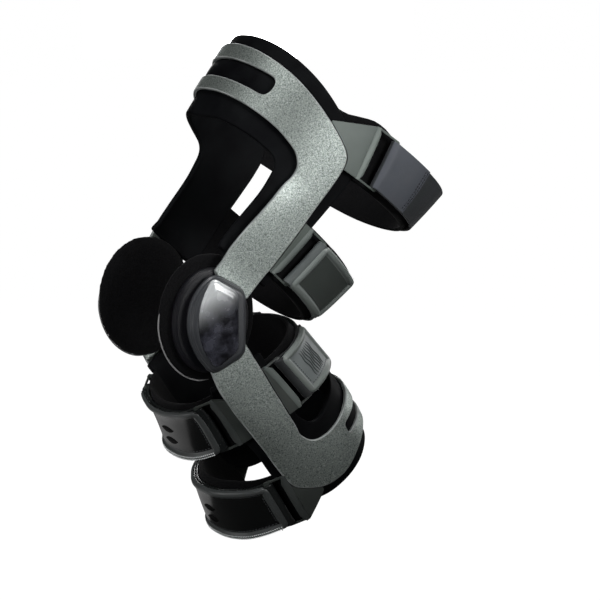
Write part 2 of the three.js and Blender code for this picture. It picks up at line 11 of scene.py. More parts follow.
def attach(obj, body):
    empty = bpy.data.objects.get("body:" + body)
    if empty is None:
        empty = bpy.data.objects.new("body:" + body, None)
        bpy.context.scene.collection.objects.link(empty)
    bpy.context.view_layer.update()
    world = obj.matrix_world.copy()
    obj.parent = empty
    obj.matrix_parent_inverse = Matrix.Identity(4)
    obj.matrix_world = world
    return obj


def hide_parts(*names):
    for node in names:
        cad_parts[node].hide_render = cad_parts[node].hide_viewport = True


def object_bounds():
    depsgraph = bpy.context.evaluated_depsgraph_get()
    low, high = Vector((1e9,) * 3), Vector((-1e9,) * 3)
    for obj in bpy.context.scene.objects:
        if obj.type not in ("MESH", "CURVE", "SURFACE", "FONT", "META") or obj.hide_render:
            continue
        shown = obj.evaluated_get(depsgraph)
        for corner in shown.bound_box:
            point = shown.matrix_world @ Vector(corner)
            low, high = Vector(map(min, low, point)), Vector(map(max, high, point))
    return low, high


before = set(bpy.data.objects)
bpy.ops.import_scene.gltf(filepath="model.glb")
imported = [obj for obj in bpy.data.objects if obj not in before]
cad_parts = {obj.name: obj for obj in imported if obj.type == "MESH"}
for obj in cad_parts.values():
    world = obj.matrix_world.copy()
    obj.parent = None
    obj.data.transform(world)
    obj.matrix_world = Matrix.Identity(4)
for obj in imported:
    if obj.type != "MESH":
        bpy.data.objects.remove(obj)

CAD_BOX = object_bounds()
MM = 0.001                     # the sizes below are in millimetres, and meshes are in metres

# Posture and hinge layout
FLEXION = 74
HOUSING_TILT = 4
PIVOT_RISE = 12
HOUSING = Matrix.Rotation(radians(HOUSING_TILT), 4, "Y")

# Layers, measured outwards from the brace's inner surface
LINER_THICK = 5
SHEET_THICK = 3
SHEET_IN = 5.75
SHEET_OUT = SHEET_IN + SHEET_THICK
SHEET_MID = (SHEET_IN + SHEET_OUT) / 2
GAP = 0.3

# Fullness of a section: 2 is an ellipse, more is flatter at the sides
FULL_AT_KNEE = 6
FULL_UNTIL = 12
ROUND_FROM = 46
FRAME_ROUND_FROM = 120         # the stiff frames turn round more slowly than the soft pieces

Section = namedtuple("Section", "reach cx a b")
Form = namedtuple("Form", "body sections facing up fullness place")
Upright = namedtuple("Upright", "z x_out x_in")
Cuff = namedtuple("Cuff", "z_out phi_out z_in phi_in")
Outline = namedtuple("Outline", "upright cuff")
Slot = namedtuple("Slot", "z phi_end height")
WebRow = namedtuple("WebRow", "reach rise")
Strap = namedtuple("Strap", "form round z rise lean width bar_x root_x window fold loft flare neck over "
                            "web cut")


def form_place(up):
    pivot = Matrix.Translation((0, 0, up * PIVOT_RISE * MM))
    return HOUSING @ pivot @ Matrix.Rotation(radians(up * FLEXION / 2), 4, "Y")


# The forms that the two halves of the brace are built on: their sections, by distance from the pivot
THIGH = Form("thigh", [
    Section(0, 6, 66, 63),
    Section(30, 9, 74, 63),
    Section(60, 12, 82, 66),
    Section(120, 13, 91, 73),
    Section(180, 15, 98, 80),
    Section(240, 16, 102, 85),
], facing=-1, up=1, fullness=2.1, place=form_place(1))
CALF = Form("calf", [
    Section(0, 6, 58, 63),
    Section(30, 10, 58.5, 63),
    Section(60, 14.5, 58, 62),
    Section(120, 15, 65, 60),
    Section(160, 14, 65, 58),
    Section(200, 12, 59, 54),
], facing=1, up=-1, fullness=2.3, place=form_place(-1))

# Half outlines of the frames and liners: the upright by the X of its edges, then the cuff by height
# and by the angle round the form from the cuff's middle
THIGH_FRAME = Outline([
    Upright(20, 17, -19.5),
    Upright(30, 17, -19.5),
    Upright(42, 17, -19.5),
    Upright(60, 17, -19),
    Upright(84, 16, -18),
    Upright(104, 14.5, -18),
], [
    Cuff(128, 90, 115, 72),
    Cuff(145, 88.5, 123, 71),
    Cuff(154, 86, 128, 68.5),
    Cuff(160, 80, 132, 64.5),
    Cuff(170, 64, 137, 52),
    Cuff(178, 46, 139, 36),
    Cuff(182, 24, 139.5, 20),
    Cuff(183, 0, 139, 0),
])
THIGH_LINER = Outline([
    Upright(36, 26, -28),
    Upright(42, 26, -28),
    Upright(60, 26, -28),
    Upright(90, 25, -28),
], [
    Cuff(112, 97.5, 106, 63.5),
    Cuff(134, 97, 113, 62.5),
    Cuff(152, 95, 117, 60.5),
    Cuff(164, 89, 119.5, 57),
    Cuff(175, 76, 121, 48),
    Cuff(187, 56, 121.5, 36),
    Cuff(193, 36, 121, 22),
    Cuff(194.5, 18, 119, 10),
    Cuff(194.5, 0, 118, 0),
])
CALF_FRAME = Outline([
    Upright(-20, -18, 17.5),
    Upright(-30, -19.5, 17.5),
    Upright(-42, -18.5, 17.5),
    Upright(-60, -17, 17.5),
    Upright(-82, -15.5, 17.5),
    Upright(-104, -14, 17.5),
], [
    Cuff(-130, 112, -112, 88.5),
    Cuff(-146, 109, -117, 87),
    Cuff(-156, 101, -122, 84.5),
    Cuff(-164, 90, -126, 80),
    Cuff(-166.5, 74, -128.5, 71),
    Cuff(-161, 56, -128, 58),
    Cuff(-156, 38, -124.5, 42),
    Cuff(-155, 20, -121.5, 22),
    Cuff(-155, 0, -120.5, 0),
])
CALF_LINER = Outline([
    Upright(-36, -26, 26),
    Upright(-42, -26, 26),
    Upright(-60, -26, 26),
    Upright(-85, -24, 26),
], [
    Cuff(-108, 120, -98, 82),
    Cuff(-132, 118, -106, 79.5),
    Cuff(-152, 114, -111, 77),
    Cuff(-165, 106, -114, 73.5),
    Cuff(-172, 93, -115, 69),
    Cuff(-174, 75, -113.5, 61),
    Cuff(-172.5, 56, -110, 50),
    Cuff(-169, 38, -105, 36),
    Cuff(-168, 18, -103, 18),
    Cuff(-168, 0, -102.5, 0),
])
THIGH_SLOT = Slot(160.5, 40.5, 17)
CALF_SLOT = Slot(-140, 58, 9.5)
MM_PER_DEGREE = 1.5            # length of one degree round a form
RUNG_STEP = 3                  # between rungs along a frame or a liner
FRAME_LINES = 12               # faces across a frame; the slot takes the middle third
LINER_LINES = 24
FOAM_BULGE = 2.4               # how far the liner's foam swells into a slot
SLOT_END_STEPS = (0, 0.1, 0.4, 0.9, 1.6, 2.5, 3.6, 5, 6.5)
SLOT_BLUNT = 2.6               # 2 is a round end, more is blunter
SLOT_SHARES = 600              # steps across a rung in which a slot's edge is found
SLOT_EASE = 40                 # degrees past a slot in which its lines spread out again
LINER_EDGE = 2                 # width of a liner's rounded edge
EDGE_WIDTH = 0.95              # and of a frame's
EDGE_ROOM_SHARE = 0.4          # most of a face's width that a frame's rounding takes
WELD = 0.02                    # corners closer than this are made one
HALVINGS = 24                  # steps in which a slot's end is found
BULGE_ACROSS_POWER = 4         # how flat the foam's bulge is, across and along a slot
BULGE_ALONG_POWER = 12

# Arms of the frames inside the hinges
ARM_HEAD_R = 11.6
ARM_NECK_Z = 15
ARM_HEAD_TURNS = (-84, -66, -48, -30, -15, 0)

# Straps, by the side that they go round (1 the back, -1 the front), their height on the form's centre line,
# their rise towards the back and the lean of their width in degrees, their width, the X of the loop bar and
# of the tab's root, the loop's window, the length of the fold, the extra height at their middle, how far
# their lower edge flares out there, how far the tab's upper edge falls towards the frame, how far the pad
# shows above the strap, whether it has a web to the liner, and whether the tab's lower corner is cut off
STRAPS = {
    "thigh_upper": Strap(THIGH, 1, 167, 8, 18, 39.5, 39.5, -22, window=16.5, fold=41, loft=6, flare=0,
                         neck=18, over=1.5, web=True, cut=False),
    "thigh_lower": Strap(THIGH, 1, 71, 0, 0, 42, 39.5, 6, window=13.5, fold=62, loft=3, flare=0,
                         neck=0, over=4.5, web=False, cut=False),
    "calf_rear": Strap(CALF, 1, -69, -5, 6, 42, 38, 6, window=9, fold=48, loft=0, flare=0,
                       neck=0, over=4.5, web=False, cut=False),
    "shin_upper": Strap(CALF, -1, -65, 4, 2, 42, -35, -8, window=10, fold=62, loft=0, flare=2.5,
                        neck=6, over=3, web=False, cut=False),
    "shin_lower": Strap(CALF, -1, -161, -12, 0, 42, -26, 10, window=10, fold=80, loft=0, flare=4.5,
                        neck=0, over=3, web=False, cut=True),
}
LOOP_RAIL = 1.5
LOOP_RAIL_STOUT = 0.5          # share of the sheet's thickness
LOOP_SIDE_PLAY = 0.6
LOOP_CORNER = 1.5
LOOP_BAR = 4
# Raised lip beside a loop's window: distance from the window, and height
LOOP_LIP = ((0, 0.5), (0.4, 0.95), (0.9, 1.1), (1.4, 0.9), (1.9, 0.05))
LOOP_CORNER_SEGMENTS = 4
TAB_STUB = 1.5                 # what is left of a cut tab's lower edge, and how fast the cut moves away
TAB_CUT = 55
TAB_STEP = 3                   # between lines along a tab, and across it
TAB_ROW_STEP = 2.5
TAB_ROOT_SHARE = 0.1           # between lines from the loop's lip to the frame
TAB_EDGE = 0.5
ROOT_SEARCH = 0.25             # step in which the frame's edge is found
NEAR = 0.01                    # places closer than this count as the same
BAND_THICK = 2.5
BAND_STEP = 3                  # between lines along a band, and across it
BAND_ROW_STEP = 5
BAND_TRIM = 0.15               # how much thinner a band is than its layer
BAND_EDGE = 0.55
EYE_RAMP = 14
EYE_TURNS = (-75, -50, -25, 0, 25, 50, 75)
RUN_HEIGHT = SHEET_IN + BAND_THICK / 2
FOLD_GAP = 0.1
FOLD_HEIGHT = RUN_HEIGHT + BAND_THICK + FOLD_GAP
EYE_RISE = SHEET_THICK / 2 + GAP + BAND_THICK / 2
EYE_REACH = LOOP_BAR / 2 + GAP + BAND_THICK / 2
FOLD_CROWN = 0.7               # how far a bare fold swells in the middle of its width
FOLD_SAG = -0.35               # and how far a fold sinks under a panel
FOLD_RAMP = 5                  # length beside the bar in which the fold comes down
FOLD_START = FOLD_HEIGHT - 0.5  # above this height a band has the fold's finish
CROWN_RISE = 1                 # height under the fold in which its crown grows
LOFT_FROM = 0.35               # share of the way to the bar where the extra height starts to go
LOFT_CLEAR = 6                 # length before the loop's ramp where it is gone
FLARE_FROM = 0.5               # share of the way to the bar where the flare starts to go
PAD_MARGIN = 4.5
PAD_TOP = 5.3
PAD_FLAP_TOP = 2.2
# Upper edge of a pad's web, by length past the loop bar
PAD_WEB = [
    WebRow(-8, 0),
    WebRow(4, 2),
    WebRow(12, 3.7),
    WebRow(23, 3.7),
    WebRow(35, 0.3),
    WebRow(48, -3.9),
]
PAD_TUCK = 1.5                 # how far a pad's end goes in beside the liner
PAD_STEP = 3
PAD_THINNING = 4               # length before and after the start of the loop's ramp in which a pad thins
PAD_PAST_WINDOW = 4
PAD_ROLL = 4                   # width of a pad's thinner border, and its share of the thickness
PAD_ROLL_SHARE = 0.65
PAD_EDGE = 0.9

# Moulded grip panels on the folds
GRIP_BASE = FOLD_HEIGHT
GRIP_CORNER = 5
GRIP_CORNER_SEGMENTS = 5
# Steps inwards from the panel's edge: distance in, and rise
GRIP_STEPS = ((0.05, 1.2), (0.35, 0.8), (0.7, 0.7), (1.0, 0.35), (1.2, 0.05), (1.0, -0.35),
              (0.7, -0.7), (0.35, -0.6), (0.8, -0.2))
GRIP_FLOOR = GRIP_BASE + 1.25
GRIP_BORDER = 6.1
GRIP_EDGE_PLAY = 0.5
GRIP_PAST_BAR = 0.5            # how far past the loop bar's middle a panel ends
GRIP_FROM_END = 2              # how far from the fold's end it starts
GRIP_STEP = 3                  # between the cuts along a panel, and across it
GRIP_ROW_STEP = 7

# Wavy ribs and lens-shaped marks on the panels
RIB_PLACE = 0.5
RIB_COUNT = 7
RIB_PITCH = 2.6
RIB_STEP = 1.2
RIB_FACES = 4                  # across a rib
RIB_HALF_WIDTH = 0.3           # share of the pitch
RIB_RISE = 0.9
RIB_SUNK = 0.1
RIB_TAPER_POWER = 4            # more keeps a rib's height further towards its ends
RIB_WANDER = 0.45              # to the side, and the waves in a rib's length
RIB_WAVES = 2
RIB_MARGIN = 2
LENS_PLACES = ((0, 2.5), (0, -7.5))
LENS_LENGTH = 20
LENS_WIDTH = 6
LENS_POINTS = 24
LENS_TIP = 1.001               # just over 1, so that a tip keeps a little width
LENS_LIFT = 0.05
LENS_INSET = 0.35

# Stitches
STITCH_PITCH = 2.6
STITCH_SIZE = (2.0, 0.7, 0.3)  # length, width and rise
STITCH_POINTS = 8              # round a stitch, and the rings along it
STITCH_RINGS = 5
STITCH_INSET = 1               # from the edge of a panel's sunk middle
STITCH_CORNER = 3              # how far from its corners the row at the loop's end stops
SEAM_INSETS = (2.5, 5)         # from the end of a plain fold
SEAM_MARGIN = 2
HEM_PITCH = 1.6
HEM_SIZE = (1.3, 1.2, 0.6)
HEM_INSETS = (1.2, 3.2)
HEM_HEIGHT = GRIP_BASE + 2.8

# Hinge stack, by distance from the brace's middle plane
PAD_INNER_Y = 51
PAD_OUTER_Y = 61.2
PLATE_Y = 61.5
PLATE_TOP_Y = 68.45
COVER_Y = 72.05
COVER_TOP_Y = 81
BADGE_TOP_Y = 84
Oval = namedtuple("Oval", "x z half_x half_z")
PAD_OVAL = Oval(-3, 2, 41, 50)
PLATE_OVAL = Oval(-2, 0, 32, 41)
OVAL_POINTS = 72
Corner = namedtuple("Corner", "x z round")
SHIELD = [
    Corner(-5, 38.5, 7),
    Corner(21.5, 25.5, 6),
    Corner(24.5, -26.5, 6),
    Corner(-2, -42, 7),
    Corner(-21, -22, 12.5),
    Corner(-27.5, 3, 11.5),
    Corner(-20.5, 26, 11.5),
]
INLAY = [
    Corner(-9.5, 35.5, 4),
    Corner(12.5, 24, 4),
    Corner(15.5, -21.5, 4),
    Corner(-3, -35.5, 5),
    Corner(-16.3, -18, 9),
    Corner(-20.9, 4, 10),
    Corner(-16.5, 24, 9),
]
Centre = namedtuple("Centre", "x z")
COVER_CENTRE = Centre(0, 0)
INLAY_CENTRE = Centre(-1.6, 1.5)
PAD_PROFILE = ((0, 1), (0.45, 0.98), (0.8, 0.85), (1, 0.6))
PLATE_ROLL = 0.1               # how far a side rolls in, as a share of the piece's size
PLATE_STRAIGHT = 0.55
COVER_ROLL = 0.2
PROFILE_STEPS = 12
DOME_END = 85                  # degrees to the small flat at a dome's top
DOME_DEPTH_POWER = 0.9
DOME_SIZE_POWER = 0.55
SHIELD_SEGMENTS = 6            # round a corner of the cover or the badge
BADGE_FADE_LOW = -2            # where the silver starts and where it is full, towards the upper front
BADGE_FADE_HIGH = 23
BADGE_FADE_POWER = 2.4         # a slow start, so that the silver fades out softly
BADGE_FADE_AXIS = (-0.45, 0, 0.89)

# Condyle pads: the cushion's simulation, and the welt round its edge
PAD_VOXEL = 2
PAD_HELD = 4                   # depth of the pad that is glued down and keeps its outline
PAD_SWELL = 1.8
PAD_PRESSURE = 4
PAD_FRAMES = 20
WELT_RADIUS = 0.6
WELT_OUT = 59.6
WELT_MIDDLE = 227              # degrees round the pad at the middle of the stretch that stands out, where the welt's painted highlight shows
WELT_HALF_ARC = 64
WELT_FADE = 30
WELT_STEP = pi / 5             # round the welt's own section
WELT_INSET = 0.1               # inside the pad's edge where it stands out, and where it is sunk
WELT_SUNK = 2.2


def rolled_profile(roll, straight=0):
    """Depth and size shares of a side that goes straight up, then rolls in."""
    rows = [(0, 1), (straight, 1)] if straight else [(0, 1)]
    for k in range(1, PROFILE_STEPS + 1):
        turn = pi / 2 * k / PROFILE_STEPS
        rows.append((straight + (1 - straight) * sin(turn), 1 - roll * (1 - cos(turn))))
    return rows


def dome_profile():
    """Depth and size shares of a low dome."""
    turns = [radians(DOME_END * k / PROFILE_STEPS) for k in range(PROFILE_STEPS + 1)]
    return [(sin(turn) ** DOME_DEPTH_POWER, cos(turn) ** DOME_SIZE_POWER) for turn in turns]


# Curves, and the surface of a form

def smoothstep(value, low, high):
    t = min(max((value - low) / (high - low), 0), 1)
    return t * t * (3 - 2 * t)


def lerp(a, b, t):
    return a + (b - a) * t


def spread(low, high, step):
    """Evenly spaced values from low to high, about a step apart."""
    count = max(1, ceil(abs(high - low) / step))
    return [lerp(low, high, k / count) for k in range(count + 1)]


def smooth_through(knots, values, at):
    """Smooth curve through vectors at rising knots, level past both ends."""
    last = len(knots) - 1
    at = min(max(at, knots[0]), knots[last])
    k = min(bisect_right(knots, at), last) - 1

    def slope(i):
        before, after = max(i - 1, 0), min(i + 1, last)
        return (values[after] - values[before]) / (knots[after] - knots[before])

    span = knots[k + 1] - knots[k]
    t = (at - knots[k]) / span
    climb = slope(k) * (t ** 3 - 2 * t ** 2 + t) + slope(k + 1) * (t ** 3 - t ** 2)
    return values[k] + (values[k + 1] - values[k]) * (3 * t ** 2 - 2 * t ** 3) + climb * span


def section_at(form, z):
    knots = [s.reach for s in form.sections]
    sizes = [Vector(s[1:]) for s in form.sections]
    return smooth_through(knots, sizes, form.up * z)


def fullness_at(form, z, round_from=ROUND_FROM):
    return lerp(FULL_AT_KNEE, form.fullness, smoothstep(abs(z), FULL_UNTIL, round_from))


def on_form(form, z, phi, offset, round_from=ROUND_FROM):
    """Point at a height, an angle in degrees and a distance out from the inner surface."""
    cx, a, b = section_at(form, z)
    n = fullness_at(form, z, round_from)
    c, s = cos(radians(phi)), sin(radians(phi))
    k = (abs(c) ** n + abs(s) ** n) ** (-1 / n)
    return form.place @ (Vector((cx + form.facing * (a + offset) * k * c, -(b + offset) * k * s, z)) * MM)


def phi_at_x(form, z, x):
    cx, a, _ = section_at(form, z)
    n = fullness_at(form, z)
    share = form.facing * (x - cx) / (a + SHEET_IN)
    return degrees(atan2((1 - abs(share) ** n) ** (1 / n), share))


def rung(form, z, x_out, x_in):
    return Vector((z, phi_at_x(form, z, x_out), z, phi_at_x(form, z, x_in)))


def rung_middle(r):
    return Vector(((r[0] + r[2]) / 2, (r[1] + r[3]) / 2 * MM_PER_DEGREE))


class Path:
    """The rungs of half a frame or liner, by distance along it."""

    def __init__(self, form, outline):
        self.rows = [rung(form, *row) for row in outline.upright] + [Vector(row) for row in outline.cuff]
        self.knots = [0]
        for before, after in zip(self.rows, self.rows[1:]):
            self.knots.append(self.knots[-1] + (rung_middle(after) - rung_middle(before)).length)
        self.length = self.knots[-1]

    def at(self, distance):
        return smooth_through(self.knots, self.rows, distance)


def arm_rungs(form):
    """Rounded head of an arm round its pivot, and the neck above it."""
    rungs = []
    for turn in ARM_HEAD_TURNS:
        half = ARM_HEAD_R * cos(radians(turn))
        z = form.up * ARM_HEAD_R * sin(radians(turn))
        rungs.append(rung(form, z, -form.facing * half, form.facing * half))
    for z in spread(0, ARM_NECK_Z, RUNG_STEP)[1:]:
        rungs.append(rung(form, form.up * z, -form.facing * ARM_HEAD_R, form.facing * ARM_HEAD_R))
    return rungs


def both_halves(half):
    """Rungs down one side, over the cuff and up the other."""
    return half + [Vector((r[0], -r[1], r[2], -r[3])) for r in reversed(half[:-1])]


# Mesh making

def lined_grid(xs, ys):
    """A flat sheet with faces between the given lines."""
    bm = bmesh.new()
    columns, rows = len(xs) - 1, len(ys) - 1
    bmesh.ops.create_grid(bm, x_segments=columns, y_segments=rows, size=1)
    for v in bm.verts:
        v.co = (xs[round((v.co.x + 1) / 2 * columns)], ys[round((v.co.y + 1) / 2 * rows)], 0)
    return bm


def settle(bm, place):
    """Keeps the flat shape as a UV map, lays it in place and keeps its faces outwards."""
    flat = bm.loops.layers.uv.new("flat")
    for face in bm.faces:
        for loop in face.loops:
            loop[flat].uv = loop.vert.co.xy * MM
    bm.normal_update()
    bm.faces.ensure_lookup_table()
    first = bm.faces[0]
    middle, normal = first.calc_center_median(), first.normal.copy()
    outwards = place(*(middle + normal)) - place(*middle)
    for v in bm.verts:
        v.co = place(*v.co)
    bm.normal_update()
    if first.normal.dot(outwards) < 0:
        bmesh.ops.reverse_faces(bm, faces=bm.faces)


def slice_across(bm, values, axis):
    """Cuts the mesh at the given places along an axis, so that it can bend there."""
    normal = Vector((axis == 0, axis == 1, 0)).to_3d()
    for value in values:
        geom = bm.verts[:] + bm.edges[:] + bm.faces[:]
        bmesh.ops.bisect_plane(bm, geom=geom, plane_co=normal * value, plane_no=normal)


def round_corner(bm, vert, offset, segments):
    bmesh.ops.bevel(bm, geom=[vert], offset=offset, offset_type="OFFSET", affect="VERTICES",
                    segments=segments, profile=0.5, material=-1)


def new_object(name, bm, *materials):
    mesh = bpy.data.meshes.new(name)
    bm.to_mesh(mesh)
    bm.free()
    mesh.shade_smooth()
    for material in materials:
        mesh.materials.append(material)
    obj = bpy.data.objects.new(name, mesh)
    bpy.context.scene.collection.objects.link(obj)
    return obj


def dress(obj, body, slot, *nodes):
    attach(obj, body)
    if nodes:
        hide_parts(*nodes)
    return obj


def thicken(obj, thickness, offset):
    solidify = obj.modifiers.new("thickness", "SOLIDIFY")
    solidify.thickness = thickness * MM
    solidify.offset = offset
    return obj


def soften(obj, width, segments=3, material=-1, angle=38):
    bevel = obj.modifiers.new("soft edges", "BEVEL")
    bevel.width = width * MM
    bevel.segments = segments
    bevel.limit_method = "ANGLE"
    bevel.angle_limit = radians(angle)
    bevel.harden_normals = True
    bevel.material = material
    return obj


# Shader groups and materials

def shader_group(name, inputs, outputs):
    """An empty group with named number sockets, and its two end nodes."""
    group = bpy.data.node_groups.new(name, "ShaderNodeTree")
    for label, default in inputs.items():
        socket = group.interface.new_socket(label, in_out="INPUT", socket_type="NodeSocketFloat")
        socket.default_value = default
    for label in outputs:
        group.interface.new_socket(label, in_out="OUTPUT", socket_type="NodeSocketFloat")
    return group, group.nodes.new("NodeGroupInput"), group.nodes.new("NodeGroupOutput")


def add_node(tree, kind, settings=None, **links):
    """A node with its settings; each link is an input's name and a number or the socket that feeds it."""
    node = tree.nodes.new(kind)
    for key, value in (settings or {}).items():
        setattr(node, key, value)
    for label, source in links.items():
        socket = node.inputs[int(label[1:])] if label[1:].isdigit() else node.inputs[label.replace("_", " ")]
        if isinstance(source, bpy.types.NodeSocket):
            tree.links.new(source, socket)
        else:
            socket.default_value = source
    return node


def grain_group():
    """Fine grains over a slow cloudy change, on the piece's own coordinates."""
    group, given, made = shader_group("grain", {"Scale": 900.0, "Cloud Scale": 25.0}, ("Grain", "Cloud"))
    place = group.nodes.new("ShaderNodeTexCoord").outputs["Object"]
    fine = add_node(group, "ShaderNodeTexNoise", Vector=place, Scale=given.outputs["Scale"],
                    Detail=2.0, Roughness=0.55)
    slow = add_node(group, "ShaderNodeTexNoise", Vector=place, Scale=given.outputs["Cloud Scale"], Detail=3.0)
    group.links.new(fine.outputs["Fac"], made.inputs["Grain"])
    group.links.new(slow.outputs["Fac"], made.inputs["Cloud"])
    return group


def weave_group():
    """Threads over and under, along the piece's flat UV map."""
    group, given, made = shader_group("weave", {"Threads": 900.0}, ("Height",))
    flat = add_node(group, "ShaderNodeUVMap", {"uv_map": "flat"}).outputs["UV"]
    waves = []
    for direction in ("X", "Y"):
        settings = {"wave_type": "BANDS", "bands_direction": direction, "wave_profile": "SIN"}
        wave = add_node(group, "ShaderNodeTexWave", settings, Vector=flat, Scale=given.outputs["Threads"],
                        Distortion=0.6, Detail=1.0)
        waves.append(wave.outputs["Fac"])
    cross = add_node(group, "ShaderNodeMath", {"operation": "MULTIPLY"}, _0=waves[0], _1=waves[1])
    group.links.new(cross.outputs[0], made.inputs["Height"])
    return group


NOISE_LOW, NOISE_HIGH = 0.3, 0.7  # most of a noise lies between these
GRAIN = grain_group()
WEAVE = weave_group()


class Finish:
    """A material round one Principled shader."""

    def __init__(self, name, **constants):
        self.material = bpy.data.materials.new(name)
        self.material.use_nodes = True
        self.tree = self.material.node_tree
        self.shader = self.tree.nodes["Principled BSDF"]
        for label, value in constants.items():
            self.shader.inputs[label.replace("_", " ")].default_value = value

    def group(self, group, **values):
        node = add_node(self.tree, "ShaderNodeGroup", {"node_tree": group}, **values)
        return node.outputs

    def ramp(self, source, *stops):
        """Colours at places along a value."""
        node = add_node(self.tree, "ShaderNodeValToRGB", Fac=source)
        points = node.color_ramp.elements
        while len(points) < len(stops):
            points.new(0.5)
        for point, (place, colour) in zip(points, stops):
            point.position = place
            point.color = (*colour, 1)
        return node.outputs["Color"]

    def span(self, source, low, high, to_low, to_high):
        node = add_node(self.tree, "ShaderNodeMapRange", Value=source)
        for label, value in zip(("From Min", "From Max", "To Min", "To Max"), (low, high, to_low, to_high)):
            node.inputs[label].default_value = value
        return node.outputs["Result"]

    def mix(self, share, first, second):
        node = add_node(self.tree, "ShaderNodeMix", {"data_type": "RGBA", "blend_type": "MIX"})
        for index, value in ((0, share), (6, first), (7, second)):
            if isinstance(value, bpy.types.NodeSocket):
                self.tree.links.new(value, node.inputs[index])
            else:
                node.inputs[index].default_value = value if index == 0 else (*value, 1)
        return node.outputs[2]

    def feed(self, label, source):
        self.tree.links.new(source, self.shader.inputs[label])

    def vary(self, label, noise, low, high):
        """Lets an input go between two values with a noise."""
        self.feed(label, self.span(noise, NOISE_LOW, NOISE_HIGH, low, high))

    def tint(self, noise, dark, light):
        """Lets the base colour go between two tones with a noise."""
        self.feed("Base Color", self.ramp(noise, (NOISE_LOW, dark), (NOISE_HIGH, light)))

    def bump(self, height, strength, distance):
        node = add_node(self.tree, "ShaderNodeBump", Height=height, Strength=strength, Distance=distance * MM)
        self.feed("Normal", node.outputs["Normal"])


def speckled_coat():
    """Grey-green powder coat with fine dark and light grains."""
    finish = Finish("speckled_coat", Metallic=0.85)
    grain = finish.group(GRAIN, Scale=1000.0, Cloud_Scale=30.0)
    tones = finish.ramp(grain["Grain"], (0.33, (0.13, 0.15, 0.14)), (0.46, (0.31, 0.35, 0.33)),
                        (0.58, (0.37, 0.41, 0.385)), (0.68, (0.6, 0.64, 0.62)))
    finish.feed("Base Color", tones)
    finish.vary("Roughness", grain["Grain"], 0.54, 0.4)
    finish.bump(grain["Grain"], 0.35, 0.25)
    return finish.material


def edge_coat(name, dark, light):
    """Less metallic coat of a frame's edges or of its rim, its tone changing slowly; the lighter tones given
    for the rounded edges are a painted highlight.
    """
    finish = Finish(name, Metallic=0.15)
    grain = finish.group(GRAIN, Scale=700.0, Cloud_Scale=60.0)
    finish.feed("Base Color", finish.ramp(grain["Cloud"], (0.35, dark), (0.6, light)))
    finish.vary("Roughness", grain["Grain"], 0.62, 0.5)
    return finish.material


def foam_skin():
    """Smooth black surface of the foam liners."""
    finish = Finish("foam_skin", Specular_IOR_Level=0.03)
    grain = finish.group(GRAIN, Scale=1400.0, Cloud_Scale=40.0)
    finish.tint(grain["Cloud"], (0.002, 0.002, 0.0025), (0.005, 0.0055, 0.006))
    finish.vary("Roughness", grain["Cloud"], 0.55, 0.72)
    finish.bump(grain["Grain"], 0.25, 0.1)
    return finish.material


def brushed_pad():
    """Black brushed cloth of the pads."""
    finish = Finish("brushed_pad", Specular_IOR_Level=0.06, Sheen_Weight=0.03, Sheen_Roughness=0.5)
    grain = finish.group(GRAIN, Scale=1100.0, Cloud_Scale=55.0)
    finish.tint(grain["Grain"], (0.001, 0.001, 0.0012), (0.005, 0.005, 0.0055))
    finish.vary("Roughness", grain["Cloud"], 0.8, 0.95)
    finish.bump(grain["Grain"], 0.6, 0.25)
    return finish.material


def satin_tab(name, dark, light):
    """Satin moulded plastic of the loop tabs."""
    finish = Finish(name, Specular_IOR_Level=0.45)
    grain = finish.group(GRAIN, Scale=1800.0, Cloud_Scale=22.0)
    finish.tint(grain["Cloud"], dark, light)
    finish.vary("Roughness", grain["Grain"], 0.34, 0.46)
    finish.bump(grain["Grain"], 0.12, 0.08)
    return finish.material


def strap_laminate(name, dark, light):
    """Soft laminated strap with a fine cross weave."""
    finish = Finish(name, Specular_IOR_Level=0.3, Sheen_Weight=0.1, Sheen_Roughness=0.4)
    grain = finish.group(GRAIN, Scale=1300.0, Cloud_Scale=45.0)
    weave = finish.group(WEAVE, Threads=420.0)
    finish.feed("Base Color", finish.mix(grain["Cloud"], dark, light))
    finish.vary("Roughness", grain["Grain"], 0.5, 0.68)
    finish.bump(weave["Height"], 0.25, 0.12)
    return finish.material


def gloss_strap():
    """Glossy black coated strap."""
    finish = Finish("gloss_strap", Specular_IOR_Level=0.5)
    grain = finish.group(GRAIN, Scale=900.0, Cloud_Scale=35.0)
    finish.tint(grain["Cloud"], (0.004, 0.005, 0.005), (0.009, 0.01, 0.01))
    finish.vary("Roughness", grain["Cloud"], 0.22, 0.36)
    finish.bump(grain["Grain"], 0.12, 0.1)
    return finish.material


def moulded(name, dark, light, rough_low, rough_high, specular=0.5):
    """Fine-textured moulded plastic."""
    finish = Finish(name, Specular_IOR_Level=specular)
    grain = finish.group(GRAIN, Scale=1600.0, Cloud_Scale=30.0)
    finish.feed("Base Color", finish.mix(grain["Cloud"], dark, light))
    finish.vary("Roughness", grain["Grain"], rough_low, rough_high)
    finish.bump(grain["Grain"], 0.15, 0.08)
    return finish.material


